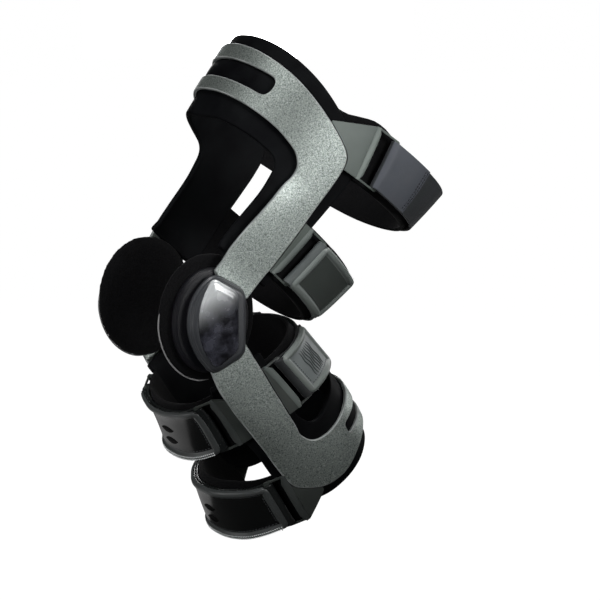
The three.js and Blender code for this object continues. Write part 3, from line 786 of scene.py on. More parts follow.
def badge_gloss():
    """Clear domed inlay, black below with cloudy bluish tones painted as reflections, and silver at its upper
    end.
    """
    finish = Finish("badge_gloss", Specular_IOR_Level=0.6, Coat_Roughness=0.2, Coat_IOR=1.5)
    grain = finish.group(GRAIN, Scale=500.0, Cloud_Scale=75.0)
    place = add_node(finish.tree, "ShaderNodeTexCoord").outputs["Object"]
    climb = add_node(finish.tree, "ShaderNodeVectorMath", {"operation": "DOT_PRODUCT"},
                     _0=place, _1=BADGE_FADE_AXIS)
    along = finish.span(climb.outputs["Value"], BADGE_FADE_LOW * MM, BADGE_FADE_HIGH * MM, 0, 1)
    slowed = add_node(finish.tree, "ShaderNodeMath", {"operation": "POWER"}, _0=along, _1=BADGE_FADE_POWER)
    silver = slowed.outputs[0]
    # Cloudy bluish tones on the black part: painted reflections.
    painted_reflection_clouds = finish.ramp(grain["Cloud"], (0.42, (0.004, 0.004, 0.006)), (0.62, (0.034, 0.035, 0.046)))
    finish.feed("Base Color", finish.mix(silver, painted_reflection_clouds, (0.4, 0.415, 0.42)))
    finish.feed("Metallic", finish.span(silver, 0, 1, 0, 0.08))
    finish.vary("Roughness", grain["Cloud"], 0.2, 0.3)
    finish.feed("Coat Weight", finish.span(grain["Cloud"], 0.2, 0.8, 0.45, 0.6))
    return finish.material


def plain_steel():
    finish = Finish("plain_steel", Metallic=1.0)
    grain = finish.group(GRAIN, Scale=700.0, Cloud_Scale=80.0)
    finish.feed("Base Color", finish.mix(grain["Cloud"], (0.42, 0.43, 0.44), (0.58, 0.59, 0.6)))
    finish.vary("Roughness", grain["Grain"], 0.25, 0.4)
    return finish.material


COAT = speckled_coat()
# Lighter, less metallic coat on the frames' rounded edges than on their faces: a painted highlight along the
# edges.
HIGHLIGHT_EDGE = edge_coat("painted_highlight_edge", (0.17, 0.185, 0.18), (0.29, 0.305, 0.3))
RIM = edge_coat("frame_rim", (0.08, 0.09, 0.085), (0.16, 0.175, 0.17))
FOAM = foam_skin()
PAD_CLOTH = brushed_pad()
LIGHT_TAB = satin_tab("light_tab", (0.066, 0.08, 0.074), (0.105, 0.122, 0.112))
# The lips beside the loop windows take lighter tones than their tabs: a painted highlight along each raised
# lip.
LIGHT_LIP_HIGHLIGHT = satin_tab("light_lip_painted_highlight", (0.12, 0.14, 0.13), (0.18, 0.205, 0.19))
MID_LIP_HIGHLIGHT = satin_tab("mid_lip_painted_highlight", (0.07, 0.083, 0.077), (0.11, 0.125, 0.117))
DARK_LIP_HIGHLIGHT = satin_tab("dark_lip_painted_highlight", (0.03, 0.034, 0.033), (0.05, 0.055, 0.053))
DARK_TAB = satin_tab("dark_tab", (0.026, 0.03, 0.028), (0.045, 0.05, 0.046))
MID_TAB = satin_tab("mid_tab", (0.045, 0.055, 0.05), (0.075, 0.088, 0.08))
SLATE = strap_laminate("slate_laminate", (0.052, 0.058, 0.07), (0.086, 0.092, 0.105))
# A darker copy of the slate laminate for the upper thigh strap's run round the back: painted shade.
SLATE_SHADED_RUN = strap_laminate("slate_run_painted_shade", (0.022, 0.024, 0.026), (0.036, 0.039, 0.042))
GREY = strap_laminate("grey_laminate", (0.05, 0.058, 0.058), (0.085, 0.095, 0.094))
CHARCOAL = strap_laminate("charcoal_laminate", (0.012, 0.013, 0.014), (0.026, 0.028, 0.029))
GLOSS = gloss_strap()
PALE_GRIP = moulded("pale_grip", (0.10, 0.115, 0.108), (0.15, 0.167, 0.158), 0.36, 0.48)
SLATE_GRIP = moulded("slate_grip", (0.028, 0.033, 0.03), (0.045, 0.052, 0.048), 0.4, 0.52)
GREY_GRIP = moulded("grey_grip", (0.09, 0.105, 0.105), (0.14, 0.155, 0.155), 0.4, 0.52)
BLACK_GRIP = moulded("black_grip", (0.001, 0.0012, 0.0012), (0.002, 0.0025, 0.0025), 0.16, 0.26)
SATIN_BLACK = moulded("satin_black", (0.03, 0.033, 0.033), (0.05, 0.054, 0.054), 0.3, 0.42)
RUBBER = moulded("grip_rubber", (0.002, 0.002, 0.002), (0.005, 0.005, 0.005), 0.7, 0.85, 0.1)
RIB_RUBBER = moulded("rib_rubber", (0.04, 0.046, 0.046), (0.06, 0.068, 0.068), 0.5, 0.65)
PLATE_PLASTIC = moulded("plate_plastic", (0.003, 0.003, 0.004), (0.006, 0.006, 0.008), 0.46, 0.58, 0.35)
COVER_PLASTIC = moulded("cover_plastic", (0.022, 0.024, 0.027), (0.037, 0.039, 0.043), 0.36, 0.48)
BADGE = badge_gloss()
# Light grey on the near-black pad: a painted highlight along the pad's lower front edge.
PAINTED_HIGHLIGHT_WELT = moulded("welt", (0.12, 0.12, 0.122), (0.2, 0.2, 0.202), 0.25, 0.35)
PALE_THREAD = moulded("pale_thread", (0.5, 0.52, 0.52), (0.8, 0.82, 0.82), 0.5, 0.65)
THREAD = moulded("thread", (0.02, 0.022, 0.024), (0.05, 0.054, 0.056), 0.5, 0.65)
# Near-black thread, darker than the strap: stitching, and partly a painted shadow line at the fold's end.
DARK_THREAD_AND_SHADOW = moulded("dark_thread_and_painted_shadow", (0.003, 0.003, 0.004), (0.008, 0.008, 0.009), 0.6, 0.75, 0.2)
STEEL = plain_steel()


# Frames and liners

def in_slot_outline(form, slot, z, phi):
    """Whether a point of the cuff lies in the slot, whose ends are blunt and rounded."""
    end_turn = degrees(slot.height / 2 / section_at(form, slot.z)[1])
    into_end = max(0, 1 - (slot.phi_end - abs(phi)) / end_turn)
    if into_end >= 1:
        return False
    return abs(z - slot.z) < slot.height / 2 * (1 - into_end ** SLOT_BLUNT) ** (1 / SLOT_BLUNT)


def slot_span(form, r, slot):
    """Shares of a rung between which it crosses the slot, or None."""
    if max(abs(r[1]), abs(r[3])) > slot.phi_end + SLOT_EASE:
        return None
    shares = [k / SLOT_SHARES for k in range(SLOT_SHARES + 1)]
    crossed = [t for t in shares if in_slot_outline(form, slot, lerp(r[0], r[2], t), lerp(r[1], r[3], t))]
    return (crossed[0], crossed[-1]) if crossed else None


def slot_end(form, path, slot):
    """Distance along the path where the slot starts, by halving, and the share of the rung there."""
    low, high = 0, path.length
    for _ in range(HALVINGS):
        middle = (low + high) / 2
        low, high = (low, middle) if slot_span(form, path.at(middle), slot) else (middle, high)
    return high, slot_span(form, path.at(high), slot)[0]


def slot_lines(form, r, slot, tip):
    """Shares of a rung where the slot's two edges lie, and whether the slot is open there."""
    span = slot_span(form, r, slot)
    if span:
        return *span, True
    ease = smoothstep(abs(lerp(r[1], r[3], tip)), slot.phi_end, slot.phi_end + SLOT_EASE)
    return lerp(tip, 1 / 3, ease), lerp(tip, 2 / 3, ease), False


def room_beside(vert):
    """How far the faces at a vertex of an open edge reach in from that edge."""
    first, last = [e.other_vert(vert).co for e in vert.link_edges if e.is_boundary]
    along = (last - first).normalized()
    spokes = [e.other_vert(vert).co - vert.co for e in vert.link_edges if not e.is_boundary]
    return min([(spoke - along * spoke.dot(along)).length for spoke in spokes], default=0)


def weigh_edges(bm, form):
    """Lets each open edge outside the hinge be rounded as far as the faces beside it leave room."""
    weight = bm.edges.layers.float.new("bevel_weight_edge")
    to_form = form.place.inverted()
    for edge in [e for e in bm.edges if e.is_boundary]:
        if min(abs((to_form @ v.co).z) for v in edge.verts) > ARM_NECK_Z * MM:
            room = min(room_beside(v) for v in edge.verts)
            edge[weight] = min(1, EDGE_ROOM_SHARE * room / (EDGE_WIDTH * MM))


def frame_sheet(form, outline, slot):
    """A frame's outer sheet, with the cuff's slot left open."""
    path = Path(form, outline)
    end, tip = slot_end(form, path, slot)
    places = sorted(spread(0, path.length, RUNG_STEP) + [end + step for step in SLOT_END_STEPS])
    rungs = both_halves(arm_rungs(form) + [path.at(place) for place in places])
    lines = [slot_lines(form, r, slot, tip) for r in rungs]
    bm = lined_grid(list(range(len(rungs))), [k / FRAME_LINES for k in range(FRAME_LINES + 1)])

    def in_slot(face):
        x, y, _ = face.calc_center_median()
        return lines[int(x)][2] and lines[int(x) + 1][2] and 1 / 3 < y < 2 / 3

    bmesh.ops.delete(bm, geom=[f for f in bm.faces if in_slot(f)], context="FACES")

    def place(x, y, offset):
        r = rungs[round(x)]
        top, bottom, _ = lines[round(x)]
        third = min(int(y * 3), 2)
        bounds = (0, top, bottom, 1)
        share = lerp(bounds[third], bounds[third + 1], y * 3 - third)
        z, phi = lerp(r[0], r[2], share), lerp(r[1], r[3], share)
        return on_form(form, z, phi, SHEET_IN + offset, FRAME_ROUND_FROM)

    settle(bm, place)
    bmesh.ops.remove_doubles(bm, verts=bm.verts, dist=WELD * MM)
    weigh_edges(bm, form)
    return bm


def make_frame(form, outline, slot):
    obj = new_object(f"{form.body}_shell", frame_sheet(form, outline, slot), COAT, HIGHLIGHT_EDGE, RIM)
    thicken(obj, SHEET_THICK, 1).modifiers["thickness"].material_offset_rim = 2
    # The rounded edges take the second material, the lighter edge coat that paints their highlight.
    edges = soften(obj, EDGE_WIDTH, segments=2, material=1).modifiers["soft edges"]
    edges.limit_method = "WEIGHT"
    edges.use_clamp_overlap = False
    return dress(obj, form.body, "frame", f"{form.body}_frame")


def foam_bulge(slot, z, phi):
    """How far the foam swells at a place, most in the middle of the slot."""
    across = min(abs(z - slot.z) / (slot.height / 2), 1)
    along = min(abs(phi) / slot.phi_end, 1)
    return FOAM_BULGE * (1 - across ** BULGE_ACROSS_POWER) * (1 - along ** BULGE_ALONG_POWER)


def make_liner(form, outline, slot):
    path = Path(form, outline)
    rungs = both_halves([path.at(place) for place in spread(0, path.length, RUNG_STEP)])
    bm = lined_grid(list(range(len(rungs))), [k / LINER_LINES for k in range(LINER_LINES + 1)])

    def place(x, y, offset):
        r = rungs[round(x)]
        z, phi = lerp(r[0], r[2], y), lerp(r[1], r[3], y)
        return on_form(form, z, phi, offset + foam_bulge(slot, z, phi))

    settle(bm, place)
    obj = new_object(f"{form.body}_foam", bm, FOAM)
    thicken(obj, LINER_THICK, 1)
    soften(obj, LINER_EDGE, segments=4)
    dress(obj, form.body, "liner", f"{form.body}_liner")
    return obj


# Straps

class StrapPlan:
    """One strap's way round its form, by length from its middle, place across and height off the form."""

    def __init__(self, strap):
        self.strap = strap
        self.form = strap.form
        self.cx, self.a, _ = section_at(strap.form, strap.z)
        self.slope = tan(radians(strap.rise))
        self.radius = self.a + SHEET_IN
        self.width = strap.width
        self.bar = self.length_at(strap.bar_x)
        self.root = self.length_at(strap.root_x)
        self.lean = tan(radians(strap.lean)) * strap.round

    def phi(self, turn):
        if self.form.facing == self.strap.round:
            return turn
        return (180 if turn >= 0 else -180) - turn

    def length_at(self, x):
        phi = phi_at_x(self.form, self.strap.z + self.slope * (x - self.cx), x)
        turn = phi if self.form.facing == self.strap.round else 180 - phi
        return radians(turn) * self.radius

    def spot(self, length, across):
        """Height along the form and angle round it."""
        turn = degrees((length + across * self.lean * sin(length / self.radius)) / self.radius)
        z = self.strap.z + across + self.slope * self.strap.round * self.a * cos(radians(turn))
        return z, self.phi(turn)

    def place(self, length, across, height):
        lift = self.loft(length) + self.flare(length, across)
        return on_form(self.form, *self.spot(length, across), height + lift)

    def loft(self, length):
        """Extra height in the middle, gone before the loops."""
        gone = self.bar - EYE_RAMP - LOFT_CLEAR
        return self.strap.loft * (1 - smoothstep(abs(length), LOFT_FROM * self.bar, gone))

    def crown(self, across, height):
        """Height of a fold's swell, all of it in the middle of the width."""
        return height * (1 - (2 * across / self.width) ** 2)

    def flare(self, length, across):
        """How far the strap tips out at its lower edge, gone at the loops."""
        tip = self.strap.flare * -across / (self.width / 2)
        return tip * (1 - smoothstep(abs(length), FLARE_FROM * self.bar, self.bar))


def band_path(plan):
    """Half of a strap from its middle to a loop, round the bar and back: length and height pairs."""
    points = [(x, RUN_HEIGHT) for x in spread(0, plan.bar - EYE_RAMP, BAND_STEP)]
    for x in spread(plan.bar - EYE_RAMP, plan.bar, BAND_STEP)[1:]:
        dip = smoothstep(x, plan.bar - EYE_RAMP, plan.bar)
        points.append((x, lerp(RUN_HEIGHT, SHEET_MID - EYE_RISE, dip)))
    for turn in EYE_TURNS:
        points.append((plan.bar + EYE_REACH * cos(radians(turn)), SHEET_MID + EYE_RISE * sin(radians(turn))))
    fold_end = max(plan.bar - plan.strap.fold, 0)
    for x in spread(plan.bar, fold_end, BAND_STEP):
        settle_down = smoothstep(x, plan.bar - FOLD_RAMP, plan.bar)
        points.append((x, lerp(FOLD_HEIGHT, SHEET_MID + EYE_RISE, settle_down)))
    return points


def make_band(name, plan, fold, run, slot, fold_crown):
    half = band_path(plan)
    if plan.bar < plan.strap.fold:
        half[-1] = (GAP, half[-1][1])
    route = [(-x, h) for x, h in reversed(half)] + half[1:]
    travelled = [0]
    for (x0, h0), (x1, h1) in zip(route, route[1:]):
        travelled.append(travelled[-1] + hypot(x1 - x0, h1 - h0))
    bm = lined_grid(travelled, spread(-plan.width / 2, plan.width / 2, BAND_ROW_STEP))
    steps = {round(t, 3): point for t, point in zip(travelled, route)}
    for face in bm.faces:
        middle = bisect_right(travelled, face.calc_center_median().x)
        face.material_index = route[middle][1] < FOLD_START

    def place(along, across, lift):
        x, h = steps.get(round(along, 3)) or route[min(bisect_right(travelled, along), len(route) - 1)]
        share = smoothstep(h, FOLD_HEIGHT - CROWN_RISE, FOLD_HEIGHT)
        return plan.place(x, across, h + share * plan.crown(across, fold_crown) + lift)

    settle(bm, place)
    obj = new_object(f"{name}_band", bm, fold, run)
    thicken(obj, BAND_THICK - BAND_TRIM, 0)
    soften(obj, BAND_EDGE)
    return dress(obj, plan.form.body, slot, f"{name}_strap")


def web_rise(reach):
    return smooth_through([row.reach for row in PAD_WEB], [row.rise for row in PAD_WEB], reach)


def make_pad(name, plan, liner):
    """Brushed foam pad under a strap, thin where it runs on behind the loops to the liner."""
    strap = plan.strap
    half_width = plan.width / 2 + PAD_MARGIN
    top = plan.width / 2 + strap.over
    ramp = plan.bar - EYE_RAMP
    far = plan.root if strap.web else plan.bar + LOOP_BAR / 2 + strap.window + PAD_PAST_WINDOW
    ys = spread(-half_width, top, PAD_STEP)

    def raised(y, reach):
        rise = web_rise(reach) if strap.web else 0
        return y + rise * max(0, y / top)

    ends = {}
    for y in ys:
        reach = root_at(plan, liner, raised(y, PAD_WEB[-1].reach), ramp) + PAD_TUCK
        ends[round(y, 4)] = min(far, reach)
    bm = lined_grid(spread(-1, 1, 2 * BAND_STEP / far), ys)
    for v in bm.verts:
        v.co.x *= ends[round(v.co.y, 4)]
    caps = bmesh.ops.extrude_face_region(bm, geom=bm.faces[:])["geom"]
    for v in caps:
        if isinstance(v, bmesh.types.BMVert):
            inwards = min(ys[-1] - v.co.y, v.co.y - ys[0])
            height = PAD_TOP * lerp(PAD_ROLL_SHARE, 1, min(1, inwards / PAD_ROLL))
            thinned = smoothstep(abs(v.co.x), ramp - PAD_THINNING, ramp + PAD_THINNING)
            v.co.z = lerp(height, PAD_FLAP_TOP, thinned)
    for v in bm.verts:
        v.co.z = max(v.co.z, GAP - plan.loft(v.co.x))
        v.co.y = raised(v.co.y, abs(v.co.x) - plan.bar)
    bmesh.ops.recalc_face_normals(bm, faces=bm.faces)
    settle(bm, plan.place)
    obj = new_object(f"{name}_cushion", bm, PAD_CLOTH)
    soften(obj, PAD_EDGE)
    dress(obj, plan.form.body, "pad", f"{name}_pad")
    return obj


def half_polygon(form, outline):
    path = Path(form, outline)
    rungs = [path.at(place) for place in spread(0, path.length, RUNG_STEP)]
    return [(r[0], r[1]) for r in rungs] + [(r[2], r[3]) for r in reversed(rungs)]


def inside(polygon, z, phi):
    hits = 0
    for (z0, p0), (z1, p1) in zip(polygon, polygon[1:] + polygon[:1]):
        if (p0 > phi) != (p1 > phi) and z < z0 + (phi - p0) * (z1 - z0) / (p1 - p0):
            hits += 1
    return hits % 2 == 1


def root_at(plan, polygon, across, start):
    """Length from the strap's middle where the frame's edge lies, for a line across the tab."""
    for length in spread(start, plan.root, ROOT_SEARCH):
        z, phi = plan.spot(length, across)
        if inside(polygon, z, phi):
            return length - 2 * GAP
    return plan.root


def make_tab(name, plan, polygon, side, label, *materials):
    """Loop tab: a curved plate from the frame's edge to the bar that the strap goes round."""
    half = plan.width / 2 + LOOP_SIDE_PLAY + LOOP_RAIL
    tip, bar_end = plan.bar - LOOP_BAR / 2, plan.bar + LOOP_BAR / 2
    window = bar_end + plan.strap.window
    lip_lines = [window + reach for reach, _ in LOOP_LIP]
    lip = lip_lines[-1]
    past_lip = spread(lip, lip + 1, TAB_ROOT_SHARE)[1:]
    xs = [tip, bar_end] + spread(bar_end, window, TAB_STEP)[1:-1] + lip_lines + past_lip
    inner = spread(-half + LOOP_RAIL, half - LOOP_RAIL, TAB_ROW_STEP)
    ys = [-half] + inner + [half]
    bm = lined_grid(xs, ys)

    def in_window(face):
        x, y, _ = face.calc_center_median()
        return bar_end < x < window and abs(y) < half - LOOP_RAIL

    bmesh.ops.delete(bm, geom=[f for f in bm.faces if in_window(f)], context="FACES")
    for face in bm.faces:
        # The lip between the window and its outer line takes the second, lighter tone: a painted highlight.
        face.material_index = window < face.calc_center_median().x < lip
    rises = {round(x, 4): rise for x, (_, rise) in zip(lip_lines, LOOP_LIP)}
    strap = plan.strap
    for v in bm.verts:
        if v.co.x < lip + NEAR:
            v.co.z = rises.get(round(v.co.x, 4), 0)
        else:
            share, height = v.co.x - lip, (v.co.y + half) / (2 * half)
            v.co.y -= strap.neck * share * height
            root = root_at(plan, polygon, v.co.y, lip)
            if strap.cut:
                root = min(root, lip + TAB_STUB + TAB_CUT * height)
            v.co.x = lerp(lip, root, share)
    for corner in [v for v in bm.verts if v.co.x < tip + NEAR and abs(v.co.y) > half - NEAR]:
        round_corner(bm, corner, LOOP_CORNER, LOOP_CORNER_SEGMENTS)
    stout = bm.verts.layers.deform.verify()
    for v in bm.verts:
        on_rail = v.co.x < window + NEAR and abs(v.co.y) > half - LOOP_RAIL - NEAR
        v[stout][0] = LOOP_RAIL_STOUT if on_rail else 1
        if on_rail:
            v.co.z += SHEET_THICK * (1 - LOOP_RAIL_STOUT) / 2

    def place(length, across, height):
        return plan.place(side * length, across, SHEET_IN + height)

    settle(bm, place)
    obj = new_object(f"{name}_loop_{label}", bm, *materials)
    obj.vertex_groups.new(name="stout")
    thicken(obj, SHEET_THICK, 1).modifiers["thickness"].vertex_group = "stout"
    soften(obj, TAB_EDGE)
    return dress(obj, plan.form.body, "tab", f"{name}_tab_{label}")


# Grips on the folds

def grip_shape(x_from, x_to, width):
    """A moulded panel with round corners, a rounded raised border and a sunk middle, still flat."""
    bm = bmesh.new()
    places = ((x_from, -width / 2), (x_to, -width / 2), (x_to, width / 2), (x_from, width / 2))
    corners = [bm.verts.new((x, y, GRIP_BASE)) for x, y in places]
    bm.faces.new(corners)
    bm.normal_update()
    for corner in corners:
        round_corner(bm, corner, GRIP_CORNER, GRIP_CORNER_SEGMENTS)
    middle = bm.faces[:]
    for thickness, depth in GRIP_STEPS:
        bmesh.ops.inset_region(bm, faces=middle, thickness=thickness, depth=depth, use_even_offset=True,
                               use_boundary=True)
    for face in middle:
        face.material_index = 1
    slice_across(bm, spread(x_from, x_to, GRIP_STEP)[1:-1], 0)
    slice_across(bm, spread(-width / 2, width / 2, GRIP_ROW_STEP)[1:-1], 1)
    return bm


def stitch_row(bm, start, end, height, pitch=STITCH_PITCH, size=STITCH_SIZE):
    """Short round stitches between two flat points."""
    run = Vector(end) - Vector(start)
    count = max(2, round(run.length / pitch))
    turn = Matrix.Rotation(atan2(run.y, run.x), 4, "Z")
    length, width, rise = size
    shape = Matrix.Diagonal((length / 2, width / 2, rise, 1))
    for k in range(count):
        spot = Vector(start) + run * ((k + 0.5) / count)
        at = Matrix.Translation((spot.x, spot.y, height))
        bmesh.ops.create_uvsphere(bm, u_segments=STITCH_POINTS, v_segments=STITCH_RINGS, radius=1,
                                  matrix=at @ turn @ shape)


def wave_ribs(x_middle, length):
    """Low wavy ribs across a grip."""
    bm = bmesh.new()
    rows = len(spread(-length / 2, length / 2, RIB_STEP)) - 1
    for k in range(RIB_COUNT):
        at = x_middle + (k - (RIB_COUNT - 1) / 2) * RIB_PITCH
        for v in bmesh.ops.create_grid(bm, x_segments=RIB_FACES, y_segments=rows, size=1)["verts"]:
            across = v.co.x
            y = v.co.y * length / 2
            taper = 1 - (2 * abs(y) / length) ** RIB_TAPER_POWER
            wander = RIB_WANDER * sin(y / length * 2 * pi * RIB_WAVES + k)
            rise = (1 - across ** 2) * RIB_RISE * taper - RIB_SUNK
            v.co = (at + wander + across * RIB_PITCH * RIB_HALF_WIDTH, y, rise)
    return bm


def lens_marks():
    """Lens-shaped rubber marks with pointed ends."""
    bm = bmesh.new()
    for x, y in LENS_PLACES:
        for v in bmesh.ops.create_circle(bm, cap_ends=True, segments=LENS_POINTS, radius=1)["verts"]:
            half_width = sqrt(LENS_TIP - v.co.x ** 2) * LENS_WIDTH / 2
            v.co = (x + v.co.x * LENS_LENGTH / 2, y + v.co.y * half_width, LENS_LIFT)
    bm.normal_update()
    bmesh.ops.reverse_faces(bm, faces=[f for f in bm.faces if f.normal.z < 0])
    bmesh.ops.inset_individual(bm, faces=bm.faces[:], thickness=LENS_INSET, depth=LENS_INSET,
                               use_even_offset=True)
    return bm


def on_fold(plan, side, base):
    def place(length, across, height):
        return plan.place(side * length, across, height + base)
    return place


def make_grips(name, plan, materials, slot):
    """Panels on the folds: one beside each loop, or one right across where the folds meet."""
    x_to = plan.bar + GRIP_PAST_BAR
    x_from = plan.bar - plan.strap.fold + GRIP_FROM_END
    if x_from > 0:
        for label, side in SIDES.items():
            make_grip(f"{name}_grip_{label}", plan, side, x_from, x_to, materials, slot)
    else:
        make_grip(f"{name}_grip", plan, 1, -x_to, x_to, materials, slot)


def make_grip(name, plan, side, x_from, x_to, materials, slot):
    """One panel with its stitches, and wavy ribs or a hem and rubber marks where its look has them."""
    border, middle, mark = materials
    on_panel = on_fold(plan, side, 0)

    def add_piece(piece, bm, place, *finishes):
        settle(bm, place)
        dress(new_object(piece, bm, *finishes), plan.form.body, slot)

    add_piece(name, grip_shape(x_from, x_to, plan.width + 2 * GRIP_EDGE_PLAY), on_panel, border, middle)
    edge = plan.width / 2 + GRIP_EDGE_PLAY - GRIP_BORDER
    row_from = x_from + GRIP_BORDER + STITCH_INSET
    row_to = x_to - GRIP_BORDER - STITCH_INSET
    rows = bmesh.new()
    stitch_row(rows, (row_from, STITCH_INSET - edge), (row_to, STITCH_INSET - edge), GRIP_FLOOR)
    stitch_row(rows, (row_to, STITCH_CORNER - edge), (row_to, edge - STITCH_CORNER), GRIP_FLOOR)
    add_piece(f"{name}_stitching", rows, on_panel, THREAD)
    on_floor = on_fold(plan, side, GRIP_FLOOR)
    if mark is RUBBER:
        hem = bmesh.new()
        for inset in HEM_INSETS:
            low = inset - GRIP_EDGE_PLAY - plan.width / 2
            start, end = (x_from + GRIP_CORNER, low), (x_to - GRIP_CORNER, low)
            stitch_row(hem, start, end, HEM_HEIGHT, HEM_PITCH, HEM_SIZE)
        add_piece(f"{name}_hem", hem, on_panel, PALE_THREAD)
        add_piece(f"{name}_marks", lens_marks(), on_floor, mark)
    elif mark is RIB_RUBBER:
        ribs = wave_ribs(lerp(x_from, x_to, RIB_PLACE), 2 * (edge - RIB_MARGIN))
        add_piece(f"{name}_marks", ribs, on_floor, mark)


def make_seam(name, plan, side, label, slot):
    """Two rows of near-black stitches across the end of a plain fold; their dark line is partly real
    stitching, partly a painted shadow at the fold's end.
    """
    rows = bmesh.new()
    half = plan.width / 2 - SEAM_MARGIN
    for inset in SEAM_INSETS:
        x = plan.bar - plan.strap.fold + inset
        stitch_row(rows, (x, -half), (x, half), FOLD_HEIGHT + BAND_THICK / 2)

    def place(length, across, height):
        return plan.place(side * length, across, height + plan.crown(across, FOLD_CROWN))

    settle(rows, place)
    dress(new_object(f"{name}_stitching_{label}", rows, DARK_THREAD_AND_SHADOW), plan.form.body, slot)


# Hinges

def hinge_place(side):
    """From flat hinge sizes (along X, up, out) to the part's frame; side is -1 on the outer side."""
    def place(x, z, out):
        return HOUSING @ (Vector((x, side * out, z)) * MM)
    return place


def oval_face(bm, oval, out):
    verts = bmesh.ops.create_circle(bm, cap_ends=True, segments=OVAL_POINTS, radius=1)["verts"]
    for v in verts:
        v.co = (oval.x + v.co.x * oval.half_x, oval.z + v.co.y * oval.half_z, out)
    return verts


def cornered_face(bm, corners, out):
    """A flat face with rounded corners."""
    verts = [bm.verts.new((c.x, c.z, out)) for c in reversed(corners)]
    bm.faces.new(verts)
    for vert, corner in zip(verts, reversed(corners)):
        round_corner(bm, vert, corner.round, SHIELD_SEGMENTS)
    bm.normal_update()


def stack_up(bm, centre, base, top, profile):
    """Pulls the only face up through a profile of depth and size shares, into a closed solid."""
    crest = bm.faces[:]
    depth, size = profile[0]
    for next_depth, next_size in profile[1:]:
        made = bmesh.ops.extrude_face_region(bm, geom=crest)["geom"]
        verts = [g for g in made if isinstance(g, bmesh.types.BMVert)]
        crest = [g for g in made if isinstance(g, bmesh.types.BMFace)]
        about = Matrix.Translation((-centre.x, -centre.z, 0))
        scale = next_size / size
        bmesh.ops.scale(bm, verts=verts, vec=(scale, scale, 1), space=about)
        bmesh.ops.translate(bm, verts=verts, vec=(0, 0, (next_depth - depth) * (top - base)))
        depth, size = next_depth, next_size
    bmesh.ops.recalc_face_normals(bm, faces=bm.faces)


def make_plate(side, label):
    bm = bmesh.new()
    oval_face(bm, PLATE_OVAL, PLATE_Y)
    stack_up(bm, PLATE_OVAL, PLATE_Y, PLATE_TOP_Y, rolled_profile(PLATE_ROLL, PLATE_STRAIGHT))
    settle(bm, hinge_place(side))
    obj = new_object(f"hinge_base_{label}", bm, PLATE_PLASTIC)
    return dress(obj, "hinges", "plate", f"hinge_plate_{label}")


def make_cover(side, label):
    bm = bmesh.new()
    cornered_face(bm, SHIELD, COVER_Y)
    stack_up(bm, COVER_CENTRE, COVER_Y, COVER_TOP_Y, rolled_profile(COVER_ROLL))
    settle(bm, hinge_place(side))
    obj = new_object(f"hinge_bezel_{label}", bm, COVER_PLASTIC)
    return dress(obj, "hinges", "cover", f"hinge_cover_{label}")


def make_badge(side, label):
    bm = bmesh.new()
    cornered_face(bm, INLAY, COVER_TOP_Y)
    stack_up(bm, INLAY_CENTRE, COVER_TOP_Y, BADGE_TOP_Y, dome_profile())
    settle(bm, hinge_place(side))
    obj = new_object(f"hinge_inlay_{label}", bm, BADGE)
    return dress(obj, "hinges", "badge", f"hinge_badge_{label}")


def condyle_pad_shape(side):
    bm = bmesh.new()
    oval_face(bm, PAD_OVAL, PAD_OUTER_Y)
    stack_up(bm, PAD_OVAL, PAD_OUTER_Y, PAD_INNER_Y, PAD_PROFILE)
    settle(bm, hinge_place(side))
    return bm


def swell(obj):
    """Blows the pad up as a cushion: cloth under pressure, held to a small swell."""
    remesh = obj.modifiers.new("voxels", "REMESH")
    remesh.mode = "VOXEL"
    remesh.voxel_size = PAD_VOXEL * MM
    apply_modifiers(obj)
    start = [v.co.copy() for v in obj.data.vertices]
    cloth = obj.modifiers.new("cloth", "CLOTH")
    cloth.settings.use_pressure = True
    cloth.settings.uniform_pressure_force = PAD_PRESSURE
    cloth.settings.effector_weights.gravity = 0
    held = obj.vertex_groups.new(name="held")
    back = (PAD_OUTER_Y - PAD_HELD) * MM
    held.add([v.index for v in obj.data.vertices if abs(v.co.y) > back], 1, "REPLACE")
    cloth.settings.vertex_group_mass = "held"
    scene = bpy.context.scene
    for step in range(1, PAD_FRAMES + 1):
        scene.frame_set(step)
    apply_modifiers(obj)
    scene.frame_set(1)
    for v, rest in zip(obj.data.vertices, start):
        move = v.co - rest
        if move.length > PAD_SWELL * MM:
            v.co = rest + move.normalized() * PAD_SWELL * MM
        limit = PAD_OUTER_Y * MM
        v.co.y = min(max(v.co.y, -limit), limit)


def apply_modifiers(obj):
    view = bpy.context.evaluated_depsgraph_get()
    mesh = bpy.data.meshes.new_from_object(obj.evaluated_get(view))
    obj.modifiers.clear()
    obj.data = mesh


def add_subdivision(obj, levels):
    subdivision = obj.modifiers.new("rounding", "SUBSURF")
    subdivision.levels = levels
    subdivision.render_levels = levels


def make_welt(side, label):
    """Thin light-grey welt round the edge of a condyle pad; its light tone is a painted highlight, and it
    stands out of the pad only along the lower front, where that highlight falls.
    """
    bm = lined_grid(spread(0, 2 * pi, 2 * pi / OVAL_POINTS), spread(0, 2 * pi, WELT_STEP))
    turn_place = hinge_place(side)

    def place(turn, round_turn, _):
        sunk = smoothstep(abs(degrees(turn) - WELT_MIDDLE), WELT_HALF_ARC - WELT_FADE, WELT_HALF_ARC)
        grow = WELT_RADIUS * cos(round_turn) - lerp(WELT_INSET, WELT_SUNK, sunk)
        x = PAD_OVAL.x + (PAD_OVAL.half_x + grow) * cos(turn)
        z = PAD_OVAL.z + (PAD_OVAL.half_z + grow) * sin(turn)
        return turn_place(x, z, WELT_OUT + WELT_RADIUS * sin(round_turn))

    settle(bm, place)
    bmesh.ops.remove_doubles(bm, verts=bm.verts, dist=WELD * MM)
    bmesh.ops.recalc_face_normals(bm, faces=bm.faces)
    return dress(new_object(f"condyle_welt_{label}", bm, PAINTED_HIGHLIGHT_WELT), "hinges", "pad")


